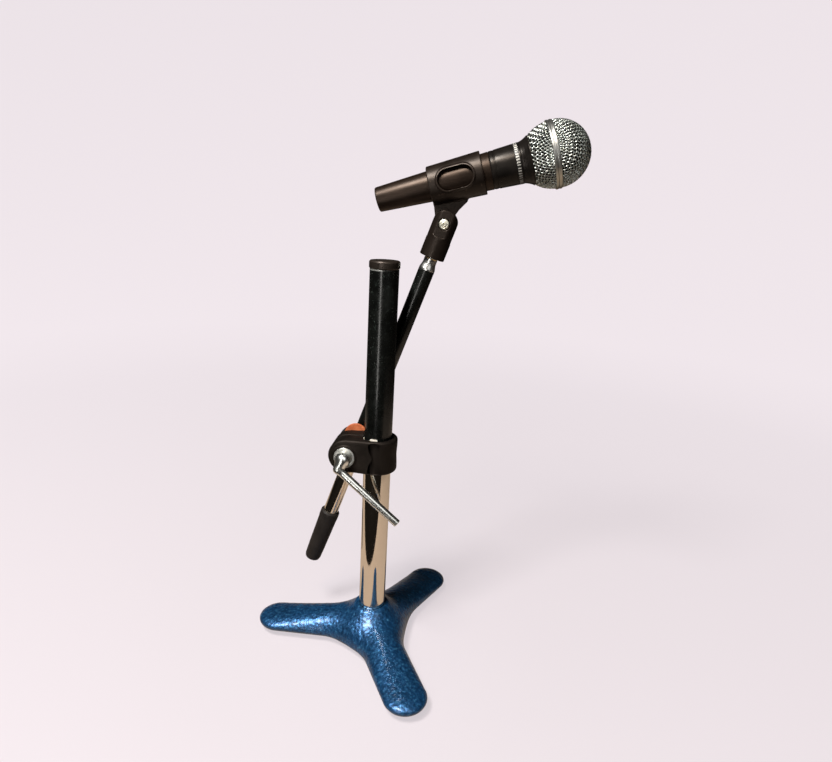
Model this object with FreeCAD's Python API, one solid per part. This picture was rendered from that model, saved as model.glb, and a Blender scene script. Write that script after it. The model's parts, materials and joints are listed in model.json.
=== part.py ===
import FreeCAD, Part
import math
import os

V = FreeCAD.Vector
os.makedirs("parts", exist_ok=True)

# ---------------------------------------------------------------------------
# Driving dimensions, millimetres.  Origin: column axis at the table surface.
# +Z up, legs at 180, 300 and 60 degrees, microphone points towards +X.
# ---------------------------------------------------------------------------
FELT_T = 1.5            # felt pad under the base
LEGS = ((181.5, 81.8), (298.1, 84.9), (62.4, 88.5))   # direction and reach of each leg to its tip centre
LEG_W0, LEG_W1 = 17.4, 17.2   # half widths at the root and the tip
WIDEST_Z = 9.5          # height at which the legs are widest
CROTCH = (0.25, 122.0, 239.8, 360.25)   # directions between the legs
CROTCH_BLEND = 27.6
LEG_H = 20.6            # height at which the hub cone leaves the legs
HUB_R = 23.0
HUB_TOP_R = 14.0
HUB_TOP_Z = 34.0

COL_R = 11.0            # column tube, 22 mm outside
COL_WALL = 1.5
COL_BOTTOM = 13.0
COL_JOIN = 172.0        # where the bright tube meets the black tube
COL_TOP = 319.0
CAP_R = 11.6
CAP_TOP = 325.2

BOLT_X = -24.2          # clamp bolt axis, parallel to Y
BOLT_Z = 172.0
EAR_R = 13.6
EAR_Y = 13.0            # half width over the ears
RING_R = 15.7
RING_Z0 = 159.2
RING_Z1 = 187.2
LINER_RI = 11.05
LINER_RO = 12.2
CLAMP_RI = 12.25
SLIT = 1.6              # slit between the ears

BOOM_R = 6.35           # half inch tube
BOOM_Y = 27.0           # plane of the boom and the microphone
BOOM_TILT = 18.72       # lean from vertical
BOOM_OFF = 3.2          # boom axis beside the bolt axis
EYE_RI = 6.40
EYE_RO = 9.2
EYE_LEN = 12.0

T_GRIP0 = -124.0
T_GRIP1 = -72.0
T_TUBE0 = -116.0
T_JOIN = 12.0
T_TUBE1 = 155.0
T_NECK = 164.4
T_BASE0 = 165.2         # lower end of the clip base
CHEEK_ARC = 10.4        # radius of the cheek faces about the pivot
T_PIVOT = 191.7
BASE_R = 10.0

MIC_X, MIC_Z = 118.3, 406.2   # centre of the grille ball
MIC_TILT = 16.54              # microphone axis above horizontal
BALL_R = 23.8
S_TAIL = -135.5
S_SEAM = -48.5
S_FERRULE = -26.3
R_TAIL = 9.2
CONE = 0.0507                 # handle radius gained per mm
S_CLIP0 = -94.7
S_CLIP1 = -54.1
CLIP_R0, CLIP_R1 = 14.2, 15.8
LUG_AZ = -98.0               # the liner's locating lug
PAD_L, PAD_W = 18.5, 9.5      # half length and half width of the friction pad
SADDLE_R = 13.0

# ---------------------------------------------------------------------------
# helpers
# ---------------------------------------------------------------------------
def save(name, shape):
    shape = shape.removeSplitter() if len(shape.Solids) == 1 else shape
    shape.exportStep("parts/%s.step" % name)
    print("%-22s solids %d valid %s vol %.1f" % (name, len(shape.Solids), shape.isValid(), shape.Volume))

def cyl(r, z0, z1, x=0.0, y=0.0):
    return Part.makeCylinder(r, z1 - z0, V(x, y, z0), V(0, 0, 1))

def ycyl(r, y0, y1, x, z):
    return Part.makeCylinder(r, y1 - y0, V(x, y0, z), V(0, 1, 0))

def rev(pts):
    """Solid of revolution about Z from (r, z) points, closed along the list."""
    vs = [V(r, 0, z) for r, z in pts]
    w = Part.makePolygon(vs + [vs[0]])
    return Part.Face(w).revolve(V(0, 0, 0), V(0, 0, 1), 360)

def box(x0, x1, y0, y1, z0, z1):
    return Part.makeBox(x1 - x0, y1 - y0, z1 - z0, V(x0, y0, z0))

def hexagon(af, z0, z1, rot=0.0):
    r = af / math.sqrt(3.0)
    pts = [V(r * math.cos(math.radians(60 * i + rot)), r * math.sin(math.radians(60 * i + rot)), z0) for i in range(6)]
    return Part.Face(Part.makePolygon(pts + [pts[0]])).extrude(V(0, 0, z1 - z0))

TH = math.radians(BOOM_TILT)
FOOT = V(BOLT_X + BOOM_OFF * math.cos(TH), BOOM_Y, BOLT_Z - BOOM_OFF * math.sin(TH))
BOOM_PL = FreeCAD.Placement(FOOT, FreeCAD.Rotation(V(0, 1, 0), BOOM_TILT))
MIC_PL = FreeCAD.Placement(V(MIC_X, BOOM_Y, MIC_Z), FreeCAD.Rotation(V(0, 1, 0), 90.0 - MIC_TILT))

def on_boom(s):
    s = s.copy(); s.Placement = BOOM_PL.multiply(s.Placement); return s

def on_mic(s):
    s = s.copy(); s.Placement = MIC_PL.multiply(s.Placement); return s

def handle_r(s):
    return R_TAIL + CONE * (s - S_TAIL)

# ---------------------------------------------------------------------------
# base
# ---------------------------------------------------------------------------
def blend_min(a, b, k):
    h = min(max(0.5 + 0.5 * (b - a) / k, 0.0), 1.0)
    return b * (1 - h) + a * h - k * h * (1 - h)

def plan_distance(x, y):
    """Distance to the outline of the three legs in plan, negative inside."""
    out = None
    for az, tip in LEGS:
        cx, cy = math.cos(math.radians(az)), math.sin(math.radians(az))
        u, v = x * cx + y * cy, -x * cy + y * cx
        uc = min(max(u, 0.0), tip)
        t = min(max((uc - 15.0) / (tip - 15.0), 0.0), 1.0)
        q = math.hypot(u - uc, v) - (LEG_W0 + (LEG_W1 - LEG_W0) * t ** 0.8)
        out = q if out is None else blend_min(out, q, CROTCH_BLEND)
    return out

def casting_field(x, y, z):
    """Below zero inside the casting: rounded legs that slope up into a raised hub."""
    d = plan_distance(x, y)
    r = math.hypot(x, y)
    if z >= WIDEST_Z:
        top = 14.8 + 11.6 * min(max(1.0 - (r - 20.0) / 66.0, 0.0), 1.1) ** 1.1
        a, b, p = max(1.0 + d / 16.0, 0.0), (z - WIDEST_Z) / (top - WIDEST_Z), 2.05
    else:
        a, b, p = max(1.0 + d / 12.5, 0.0), (WIDEST_Z - z) / (WIDEST_Z - FELT_T), 1.7
    legs = ((a ** p + b ** p) ** (1.0 / p) - 1.0) * 9.0
    flank = 13.2 + 12.0 * (min(max((HUB_TOP_Z + 0.1 - z) / 21.0, 0.0), 1.0)) ** 0.85
    hub = max((r - flank) * 0.8, 8.0 - z)
    return blend_min(legs, hub, 9.0)

def slice_wire(inside, z, n=34):
    """Smooth closed outline of a star-shaped slice: n points in each third, even along the arc."""
    pts = []
    for k in range(3):
        a0, a1 = CROTCH[k], CROTCH[k + 1]
        ring = []
        m = 120
        for i in range(m + 1):
            t = math.radians(a0 + (a1 - a0) * i / m)
            c, s = math.cos(t), math.sin(t)
            lo, hi = 3.0, 118.0
            for _ in range(20):
                q = (lo + hi) / 2
                if inside(q * c, q * s):
                    lo = q
                else:
                    hi = q
            ring.append((lo * c, lo * s))
        acc = [0.0]
        for i in range(m):
            acc.append(acc[-1] + math.hypot(ring[i + 1][0] - ring[i][0], ring[i + 1][1] - ring[i][1]))
        j = 0
        for i in range(n):
            want = acc[-1] * i / n
            while acc[j + 1] < want:
                j += 1
            f = (want - acc[j]) / (acc[j + 1] - acc[j])
            pts.append(V(ring[j][0] + (ring[j + 1][0] - ring[j][0]) * f, ring[j][1] + (ring[j + 1][1] - ring[j][1]) * f, z))
    c = Part.BSplineCurve()
    c.interpolate(Points=pts, PeriodicFlag=True, Parameters=[i / float(len(pts)) for i in range(len(pts) + 1)])
    return Part.Wire(c.toShape())

levels = [FELT_T, 1.9, 2.6, 3.8, 5.4, 7.4, WIDEST_Z, 10.6, 11.8, 12.8, 13.8, 15.0, 16.4, 17.8, 19.2, 20.6, 22.0, 23.6, 25.4, 27.4, 29.4, 31.2, 32.6, 33.5, HUB_TOP_Z]
wires = []
for z in levels:
    wires.append(slice_wire(lambda x, y: casting_field(x, y, z) < 0.0, z))
body = Part.makeLoft(wires, True, True)
print("casting loft", body.isValid(), len(body.Faces), round(body.Volume, 1), body.BoundBox)
casting = body
casting = casting.cut(cyl(COL_R + 0.02, COL_BOTTOM, 60)).cut(cyl(5.3, 0, 30)).cut(cyl(12.0, 0, 9.0))
save("base_casting", casting)
save("base_felt_pad", Part.Face(slice_wire(lambda x, y: plan_distance(x, y) < -11.0, 0.0)).extrude(V(0, 0, FELT_T)))

# foot plug: pressed in the column, with a stud through the base
plug = cyl(COL_R - COL_WALL, COL_BOTTOM, 34.0).fuse(cyl(5.0, 2.4, COL_BOTTOM))
save("column_foot_plug", plug)
save("base_washer", cyl(10.5, 7.4, 9.0).cut(cyl(5.0, 0, 20)))
save("base_nut", hexagon(17.0, 3.0, 7.4).cut(cyl(5.0, 0, 20)))

# ---------------------------------------------------------------------------
# column
# ---------------------------------------------------------------------------
RI = COL_R - COL_WALL
save("column_lower_tube", cyl(COL_R, COL_BOTTOM, COL_JOIN).cut(cyl(RI, 0, 400)))
save("column_upper_tube", cyl(COL_R, COL_JOIN, COL_TOP).cut(cyl(RI, 0, 400)))
save("column_spigot", cyl(RI, COL_JOIN - 30, COL_JOIN + 30).cut(cyl(RI - 2.0, 0, 400)))
cap = rev([(0, COL_TOP - 12.0), (RI - 0.6, COL_TOP - 12.0), (RI, COL_TOP - 9.0), (RI, COL_TOP), (CAP_R, COL_TOP), (CAP_R, CAP_TOP - 1.2), (CAP_R - 1.2, CAP_TOP), (0, CAP_TOP)])
save("column_cap", cap)

# ---------------------------------------------------------------------------
# clamp on the column
# ---------------------------------------------------------------------------
lug = box(0, 20, -3.2, 3.2, RING_Z1 - 3.0, RING_Z1 + 1.0)
lug.rotate(V(0, 0, 0), V(0, 0, 1), LUG_AZ)
liner = cyl(LINER_RO, RING_Z0 - 0.8, RING_Z1 - 1.6).fuse(cyl(LINER_RO, RING_Z1 - 3.0, RING_Z1 + 1.0).common(lug)).removeSplitter()
liner = liner.cut(cyl(LINER_RI, 0, 400)).cut(box(-20, 0, -1.0, 1.0, 100, 250))
save("column_liner", liner)

# side profile of the clamp: round ear, slightly flared towards the ring
ear_top = BOLT_Z + EAR_R
ear_bot = BOLT_Z - EAR_R
prof = [V(BOLT_X, 0, ear_bot), V(RING_R + 1, 0, RING_Z0), V(RING_R + 1, 0, RING_Z1), V(BOLT_X, 0, ear_top)]
slab = Part.Face(Part.makePolygon(prof + [prof[0]])).extrude(V(0, 60, 0))
slab.translate(V(0, -30, 0))
slab = slab.fuse(ycyl(EAR_R, -30, 30, BOLT_X, BOLT_Z))
ears = box(BOLT_X - EAR_R - 1, 0, -EAR_Y, EAR_Y, 100, 250)
ring = cyl(RING_R, 100, 250)
clamp = ears.fuse(ring).removeSplitter().common(slab).removeSplitter()
# soft outer edges
try:
    edges = []
    for e in clamp.Edges:
        bb = e.BoundBox
        on_side = abs(abs(bb.YMin) - EAR_Y) < 1e-3 and abs(bb.YMin - bb.YMax) < 1e-3 and bb.XMax < -8.0
        if on_side:
            edges.append(e)
    c2 = clamp.makeFillet(1.6, edges)
    if c2.isValid():
        clamp = c2
        print("ear edges softened", len(edges))
except Exception as err:
    print("ear fillet skipped", err)
boss = ycyl(9.6, -14.0, 15.0, BOLT_X, BOLT_Z)
clamp = clamp.fuse(boss).removeSplitter()
clamp = clamp.cut(cyl(CLAMP_RI, 100, 250)).cut(box(-60, 0, -SLIT / 2, SLIT / 2, 100, 250)).cut(ycyl(3.06, -30, 30, BOLT_X, BOLT_Z))
save("clamp_body", clamp)

# lever: domed hub with a bent bar
HUB_Y = -15.2
L0 = V(BOLT_X, HUB_Y - 4.6, BOLT_Z)
L1 = V(-26.9, -22.6, 165.4)
L2 = V(22.2, -28.0, 127.0)
BAR_R = 3.0
def rod(a, b, r):
    d = b - a
    return Part.makeCylinder(r, d.Length, a, d)
hubl = Part.makeCylinder(6.4, 6.6, V(BOLT_X, HUB_Y, BOLT_Z), V(0, -1, 0))
dome = Part.makeSphere(6.9, V(BOLT_X, HUB_Y - 3.4, BOLT_Z)).common(Part.makeCylinder(6.4, 11.0, V(BOLT_X, HUB_Y - 3.0, BOLT_Z), V(0, -1, 0)))
lever = hubl.fuse(dome).fuse(rod(L0, L1, BAR_R)).fuse(Part.makeSphere(BAR_R, L1)).fuse(rod(L1, L2, BAR_R))
lever = lever.cut(Part.makeCylinder(3.05, 6.0, V(BOLT_X, HUB_Y + 0.1, BOLT_Z), V(0, -1, 0)))
save("clamp_lever", lever)
save("lever_washer", ycyl(8.4, HUB_Y, -14.0, BOLT_X, BOLT_Z).cut(ycyl(3.1, -30, 30, BOLT_X, BOLT_Z)))

# ---------------------------------------------------------------------------
# boom holder: eye bolt, saddle, friction washer
# ---------------------------------------------------------------------------
eye = on_boom(cyl(EYE_RO, -EYE_LEN / 2, EYE_LEN / 2).cut(cyl(EYE_RI, -50, 50)))
shank = ycyl(3.0, HUB_Y - 5.6, BOOM_Y - EYE_RI - 1.2, BOLT_X, BOLT_Z)
shank = shank.cut(on_boom(cyl(EYE_RI + 0.6, -50, 50)))
eyebolt = eye.fuse(shank).removeSplitter()
save("eye_bolt", eyebolt)
# oblong fibre pad that lies along the boom
pad = box(-PAD_W, PAD_W, 0, 2.0, -(PAD_L - PAD_W), PAD_L - PAD_W)
for k in (-1, 1):
    pad = pad.fuse(Part.makeCylinder(PAD_W, 2.0, V(0, 0, k * (PAD_L - PAD_W)), V(0, 1, 0)))
pad = pad.removeSplitter()
pad.Placement = FreeCAD.Placement(V(BOLT_X, 15.0, BOLT_Z), FreeCAD.Rotation(V(0, 1, 0), BOOM_TILT))
save("friction_washer", pad.cut(ycyl(3.1, 0, 40, BOLT_X, BOLT_Z)))
saddle = ycyl(SADDLE_R, 17.0, 25.5, BOLT_X, BOLT_Z)
saddle = saddle.cut(on_boom(cyl(EYE_RI, -60, 60))).cut(on_boom(cyl(EYE_RO + 0.05, -EYE_LEN / 2 - 0.1, EYE_LEN / 2 + 0.1)))
saddle = saddle.cut(ycyl(3.1, 0, 40, BOLT_X, BOLT_Z))
sol = sorted(saddle.Solids, key=lambda s: -s.Volume)
save("boom_saddle", sol[0] if len(sol) == 1 else Part.Compound([s for s in sol if s.Volume > 20.0]))

# ---------------------------------------------------------------------------
# boom
# ---------------------------------------------------------------------------
BI = BOOM_R - 1.0
save("boom_lower_tube", on_boom(cyl(BOOM_R, T_TUBE0, T_JOIN).cut(cyl(BI, -300, 300))))
save("boom_upper_tube", on_boom(cyl(BOOM_R, T_JOIN, T_TUBE1).cut(cyl(BI, -300, 300))))
save("boom_joiner", on_boom(cyl(BI, T_JOIN - 25, T_JOIN + 25)))
ferrule = rev([(0, T_TUBE1 - 16), (BI, T_TUBE1 - 16), (BI, T_TUBE1), (BOOM_R, T_TUBE1), (BOOM_R - 0.1, T_TUBE1 + 1.2), (5.4, T_TUBE1 + 4.2), (5.2, T_NECK - 0.6), (4.75, T_NECK), (4.75, T_NECK + 15.0), (4.2, T_NECK + 15.6), (0, T_NECK + 15.6)])
save("boom_ferrule", on_boom(ferrule))
grip = rev([(0, T_GRIP0), (4.2, T_GRIP0), (6.2, T_GRIP0 + 1.2), (7.0, T_GRIP0 + 3.6), (7.3, T_GRIP0 + 10), (8.2, T_GRIP1 - 6.5), (8.2, T_GRIP1 - 4.0), (7.6, T_GRIP1 - 0.8), (7.1, T_GRIP1), (BOOM_R, T_GRIP1), (BOOM_R, T_TUBE0), (0, T_TUBE0)])
save("boom_grip", on_boom(grip))

# ---------------------------------------------------------------------------
# microphone clip
# ---------------------------------------------------------------------------
CH_Y = 8.6              # half width over the flat cheeks
GAP = 3.1               # half width of the tongue gap
# round post with a domed top, then a flat cheek face each side, bounded below by an arc about the pivot
base = cyl(BASE_R, T_BASE0, T_PIVOT)
try:
    base = base.makeFillet(0.9, [e for e in base.Edges if abs(e.BoundBox.ZMax - T_BASE0) < 1e-3 and e.BoundBox.ZLength < 1e-3])
except Exception as err:
    print("base edge", err)
top = Part.makeCylinder(BASE_R, 2 * BASE_R, V(0, -BASE_R, T_PIVOT), V(0, 1, 0)).common(cyl(BASE_R, T_PIVOT - 1, T_PIVOT + 20))
base = base.fuse(top).removeSplitter()
for y0 in (CH_Y, -CH_Y - 12.0):
    base = base.cut(Part.makeCylinder(CHEEK_ARC, 12.0, V(0, y0, T_PIVOT), V(0, 1, 0)))
base = base.cut(box(-20, 20, -GAP, GAP, T_PIVOT - 12.4, T_PIVOT + 30))
base = base.cut(cyl(7.0, T_BASE0 - 1, T_BASE0 + 11.0)).cut(cyl(5.0, T_BASE0 - 1, T_NECK + 16.2))
base = base.cut(Part.makeCylinder(2.5, 60, V(0, -30, T_PIVOT), V(0, 1, 0)))
base = base.cut(Part.makeCylinder(4.6, 10, V(0, -CH_Y - 8.4, T_PIVOT), V(0, 1, 0)))
nutpk = hexagon(8.0, 0, 10)
nutpk.Placement = FreeCAD.Placement(V(0, CH_Y - 3.0, T_PIVOT), FreeCAD.Rotation(V(1, 0, 0), -90))
base = base.cut(nutpk)
save("clip_base", on_boom(base))
save("thread_insert", on_boom(cyl(7.0, T_BASE0, T_BASE0 + 11.0).cut(cyl(4.80, 0, 400))))
screw = Part.makeCylinder(2.5, 2 * CH_Y - 1.7, V(0, -CH_Y + 1.6, T_PIVOT), V(0, 1, 0))
head = Part.makeCylinder(3.9, 1.9, V(0, -CH_Y - 0.3, T_PIVOT), V(0, 1, 0))
try:
    head = head.makeFillet(1.1, [e for e in head.Edges if abs(e.BoundBox.YMin + CH_Y + 0.3) < 1e-3 and e.BoundBox.YLength < 1e-3])
except Exception as err:
    print("screw head", err)
head = head.cut(Part.makeBox(5.2, 1.0, 0.9, V(-2.6, -CH_Y - 0.31, T_PIVOT - 0.45))).cut(Part.makeBox(0.9, 1.0, 5.2, V(-0.45, -CH_Y - 0.31, T_PIVOT - 2.6)))
save("pivot_screw", on_boom(screw.fuse(head).removeSplitter()))
nut = hexagon(7.9, 0, 3.0).cut(cyl(2.5, -1, 5))
nut.Placement = FreeCAD.Placement(V(0, CH_Y - 3.0, T_PIVOT), FreeCAD.Rotation(V(1, 0, 0), -90))
save("pivot_nut", on_boom(nut))

# position of the pivot in the microphone frame
pivot = BOOM_PL.multVec(V(0, 0, T_PIVOT))
ploc = MIC_PL.inverse().multVec(pivot)      # x is down, z along the axis
PX, PS = ploc.x, ploc.z
def clip_r(s):
    return CLIP_R0 + (CLIP_R1 - CLIP_R0) * (s - S_CLIP0) / (S_CLIP1 - S_CLIP0)
barrel = rev([(0, S_CLIP0), (CLIP_R0 - 0.8, S_CLIP0), (CLIP_R0, S_CLIP0 + 0.8), (CLIP_R1, S_CLIP1 - 0.5), (CLIP_R1 - 0.6, S_CLIP1), (0, S_CLIP1)])
# raised rims round the two side windows
W_S, W_HALF_L, W_HALF_H, W_X = -74.5, 14.6, 9.2, -0.8
def window(hl, hh, y0, y1):
    r = hh
    b = Part.makeBox(2 * hh, y1 - y0, 2 * (hl - r), V(W_X - hh, y0, W_S - (hl - r)))
    for zz in (W_S - (hl - r), W_S + (hl - r)):
        b = b.fuse(Part.makeCylinder(r, y1 - y0, V(W_X, y0, zz), V(0, 1, 0)))
    return b.removeSplitter()
rim_body = rev([(0, S_CLIP0 + 2), (clip_r(S_CLIP0 + 2) + 0.8, S_CLIP0 + 2), (clip_r(S_CLIP1 - 2) + 0.8, S_CLIP1 - 2), (0, S_CLIP1 - 2)])
rim = window(W_HALF_L, W_HALF_H, -30, 30).common(rim_body)
tongue_pts = [(PX, PS - 6.6), (12.0, S_CLIP0 + 0.2), (12.0, -66.5), (17.2, -69.8), (19.4, -73.5), (21.6, -77.2), (24.4, -80.6), (PX, PS + 8.6)]
tp = [V(x, -3.0, s) for x, s in tongue_pts]
tongue = Part.Face(Part.makePolygon(tp + [tp[0]])).extrude(V(0, 6.0, 0))
tongue = tongue.fuse(Part.makeCylinder(8.6, 6.0, V(PX, -3.0, PS), V(0, 1, 0)))
clip = barrel.fuse(rim).fuse(tongue).removeSplitter()
bore = rev([(0, S_CLIP0 - 5), (handle_r(S_CLIP0 - 5) + 0.12, S_CLIP0 - 5), (handle_r(S_CLIP1 + 5) + 0.12, S_CLIP1 + 5), (0, S_CLIP1 + 5)])
clip = clip.cut(bore).cut(window(W_HALF_L - 1.5, W_HALF_H - 1.5, -30, 30))
clip = clip.cut(Part.makeCylinder(2.6, 30, V(PX, -15, PS), V(0, 1, 0)))
save("clip_barrel", on_mic(clip))

# ---------------------------------------------------------------------------
# microphone
# ---------------------------------------------------------------------------
handle_o = rev([(0, S_TAIL), (R_TAIL - 0.4, S_TAIL), (R_TAIL, S_TAIL + 0.6), (handle_r(S_SEAM), S_SEAM), (0, S_SEAM)])
handle_i = rev([(0, S_TAIL - 1), (8.05, S_TAIL - 1), (8.05, -113.5), (handle_r(-113.5) - 1.9, -112.0), (handle_r(S_SEAM) - 1.9, S_SEAM + 1), (0, S_SEAM + 1)])
handle = handle_o.cut(handle_i)
SET_S = -119.0
handle = handle.cut(Part.makeCylinder(1.25, 8, V(7.0, 0, SET_S), V(1, 0, 0)))
save("mic_handle", on_mic(handle))
insert = cyl(8.0, -124.0, -114.0).cut(Part.makeCylinder(1.25, 8, V(6.4, 0, SET_S), V(1, 0, 0)))
PIN_A = (90.0, 210.0, 330.0)
pins = []
for a in PIN_A:
    px, py = 5.0 * math.cos(math.radians(a)), 5.0 * math.sin(math.radians(a))
    insert = insert.cut(cyl(1.2, -130, -100, px, py))
    p = cyl(1.2, -133.0, -111.0, px, py)
    pins.append(p)
save("connector_insert", on_mic(insert))
save("contact_pins", on_mic(Part.Compound(pins)))
save("insert_set_screw", on_mic(Part.makeCylinder(1.25, handle_r(SET_S) - 0.4 - 6.4, V(6.4, 0, SET_S), V(1, 0, 0))))

collar = rev([(11.4, S_SEAM - 8.0), (handle_r(S_SEAM) - 1.95 - 0.4, S_SEAM - 8.0), (handle_r(S_SEAM) - 1.95, S_SEAM), (handle_r(S_SEAM) - 0.5, S_SEAM), (handle_r(S_SEAM + 0.9), S_SEAM + 0.9), (handle_r(-30.2), -30.2), (handle_r(-30.2) - 0.4, -30.2), (handle_r(-30.2) - 0.4, -27.2), (handle_r(-27.2), -27.2), (handle_r(S_FERRULE), S_FERRULE), (13.0, S_FERRULE), (13.0, -19.6), (11.4, -19.6)])
# the joint skirt slides inside the handle, so trim it with the handle bore
collar = collar.cut(handle_o.cut(handle_i))
save("head_collar", on_mic(collar))
save("marking_ring", on_mic(rev([(handle_r(-30.2) - 0.4, -30.2), (handle_r(-30.2) + 0.05, -30.2), (handle_r(-27.2) + 0.05, -27.2), (handle_r(-30.2) - 0.4, -27.2)])))

ferr = rev([(13.06, S_FERRULE + 0.1), (14.6, S_FERRULE + 0.1), (15.1, -24.6), (15.9, -22.8), (17.0, -20.6), (17.4, -19.4), (17.0, -19.2), (14.6, -19.2), (14.6, -19.5), (13.06, -19.5)])
save("grille_ferrule", on_mic(ferr))
lo_out = [(17.4, -19.2), (19.3, -16.6), (20.9, -13.9), (22.1, -11.0), (22.95, -8.2), (23.5, -5.2)]
lo_in = [(r - 1.0, z) for r, z in reversed(lo_out)]
save("grille_lower", on_mic(rev(lo_out + lo_in)))
save("grille_band", on_mic(rev([(22.5, -5.2), (23.7, -5.2), (24.25, -4.6), (24.25, -1.2), (23.8, -0.6), (22.5, -0.6)])))
def arc_pts(r, z0, n=16):
    a0 = math.asin(z0 / r)
    return [(r * math.cos(a0 + (math.pi / 2 - a0) * i / n), r * math.sin(a0 + (math.pi / 2 - a0) * i / n)) for i in range(n + 1)]
def dome_shell(ro, ri, z0):
    so = Part.makeSphere(ro); si = Part.makeSphere(ri)
    half = Part.makeBox(80, 80, 80, V(-40, -40, z0))
    return so.cut(si).common(half)
save("grille_upper", on_mic(dome_shell(BALL_R, BALL_R - 1.0, -0.6)))
fo = [(15.9, -18.2), (18.1, -16.4), (19.6, -13.9), (20.8, -11.0), (21.7, -8.2), (22.2, -5.2), (22.4, -0.6)]
foam_o = rev([(0, -18.2)] + fo + [(0, -0.6)]).fuse(Part.makeSphere(22.5).common(Part.makeBox(80, 80, 80, V(-40, -40, -0.6))))
fi = [(14.2, -18.2), (15.8, -16.4), (17.2, -13.9), (18.4, -11.0), (19.3, -8.2), (19.8, -5.2), (20.0, -0.6)]
foam_i = rev([(0, -19.2), (14.2, -19.2)] + fi + [(0, -0.6)]).fuse(Part.makeSphere(20.1).common(Part.makeBox(80, 80, 80, V(-40, -40, -0.6))))
save("foam_liner", on_mic(foam_o.cut(foam_i).removeSplitter()))

# capsule, shock mount, transformer and wires
save("capsule", on_mic(rev([(0, -21.0), (8.6, -21.0), (8.6, -14.0), (12.2, -14.0), (12.6, -13.4), (12.6, -2.6), (12.0, -2.0), (0, -2.0)])))
save("shock_mount", on_mic(rev([(8.6, -38.0), (11.4, -38.0), (11.4, -19.0), (12.2, -18.6), (12.2, -14.0), (8.6, -14.0)]).cut(cyl(8.6, -60, 0))))
save("transformer_can", on_mic(cyl(7.4, -78.0, -52.0)))
def wire(p0, p1, r=0.55):
    return rod(V(*p0), V(*p1), r)
save("capsule_wires", on_mic(Part.Compound([wire((2.5, 0, -52.0), (2.5, 0, -21.0)), wire((-2.5, 0, -52.0), (-2.5, 0, -21.0))])))
w2 = []
for a in PIN_A:
    px, py = 5.0 * math.cos(math.radians(a)), 5.0 * math.sin(math.radians(a))
    w2.append(wire((px, py, -111.0), (px, py, -78.0)))
save("connector_wires", on_mic(Part.Compound(w2)))
print("pivot in mic frame: down %.2f along %.2f" % (PX, PS), "pivot", pivot, "foot", FOOT)
print("mic tail", MIC_PL.multVec(V(0, 0, S_TAIL)), "tip", MIC_PL.multVec(V(0, 0, BALL_R)))
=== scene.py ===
import json
import math

import bpy
import numpy as np
from mathutils import Matrix, Vector


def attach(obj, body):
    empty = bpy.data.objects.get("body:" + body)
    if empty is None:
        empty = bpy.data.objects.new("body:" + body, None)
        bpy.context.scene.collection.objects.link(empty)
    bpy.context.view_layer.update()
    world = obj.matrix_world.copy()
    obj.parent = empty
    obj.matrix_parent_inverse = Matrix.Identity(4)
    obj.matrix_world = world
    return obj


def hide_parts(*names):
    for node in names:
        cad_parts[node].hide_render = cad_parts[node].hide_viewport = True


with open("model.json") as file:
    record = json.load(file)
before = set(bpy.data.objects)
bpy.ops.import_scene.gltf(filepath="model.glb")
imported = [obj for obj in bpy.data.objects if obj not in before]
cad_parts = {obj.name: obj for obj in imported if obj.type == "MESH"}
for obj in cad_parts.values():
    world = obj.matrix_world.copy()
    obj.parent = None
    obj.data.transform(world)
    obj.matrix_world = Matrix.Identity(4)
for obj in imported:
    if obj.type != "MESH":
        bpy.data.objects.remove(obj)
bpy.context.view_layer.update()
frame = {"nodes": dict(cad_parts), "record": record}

scene = bpy.context.scene
scene.view_settings.view_transform = "Standard"
scene.view_settings.look = "None"

MM = 0.001

# ---------------------------------------------------------------------------
# frames: local millimetres to row metres
# ---------------------------------------------------------------------------
def frame_matrix(origin, tilt_deg):
    t = math.radians(tilt_deg)
    m = np.eye(4)
    m[:3, 0] = (math.cos(t), 0, -math.sin(t))
    m[:3, 1] = (0, 1, 0)
    m[:3, 2] = (math.sin(t), 0, math.cos(t))
    m[:3, 3] = origin
    return m


ID = np.eye(4)
BOLT_X, BOLT_Z = -24.2, 172.0
TILT = 18.72
FOOT = (BOLT_X + 3.2 * math.cos(math.radians(TILT)), 27.0, BOLT_Z - 3.2 * math.sin(math.radians(TILT)))
BOOM = frame_matrix(FOOT, TILT)
MIC_TILT = 16.54
MIC = frame_matrix((118.3, 27.0, 406.2), 90.0 - MIC_TILT)
T_PIVOT = 191.7


def handle_r(s):
    return 9.2 + 0.0507 * (s + 135.5)


# ---------------------------------------------------------------------------
# mesh helpers
# ---------------------------------------------------------------------------
def place(verts, M):
    v = np.asarray(verts, float)
    return (v @ M[:3, :3].T + M[:3, 3]) * MM


def make(name, verts, faces, mat, body, replaces=(), sharp=35.0, recalc=False):
    """Mesh object from row-frame metre vertices; faces is an (n,3|4) array or a list."""
    me = bpy.data.meshes.new(name)
    verts = np.asarray(verts, np.float32)
    if isinstance(faces, np.ndarray):
        n, k = faces.shape
        me.vertices.add(len(verts))
        me.vertices.foreach_set("co", verts.ravel())
        me.loops.add(n * k)
        me.loops.foreach_set("vertex_index", faces.astype(np.int32).ravel())
        me.polygons.add(n)
        me.polygons.foreach_set("loop_start", np.arange(0, n * k, k, dtype=np.int32))
        me.update(calc_edges=True)
    else:
        me.from_pydata([tuple(v) for v in verts.tolist()], [], [tuple(f) for f in faces])
    me.validate()
    me.polygons.foreach_set("use_smooth", np.ones(len(me.polygons), bool))
    if sharp is not None:
        me.set_sharp_from_angle(angle=math.radians(sharp))
    ob = bpy.data.objects.new(name, me)
    scene.collection.objects.link(ob)
    me.materials.append(mat)
    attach(ob, body)
    if replaces:
        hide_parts(*replaces)
    return ob


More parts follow.
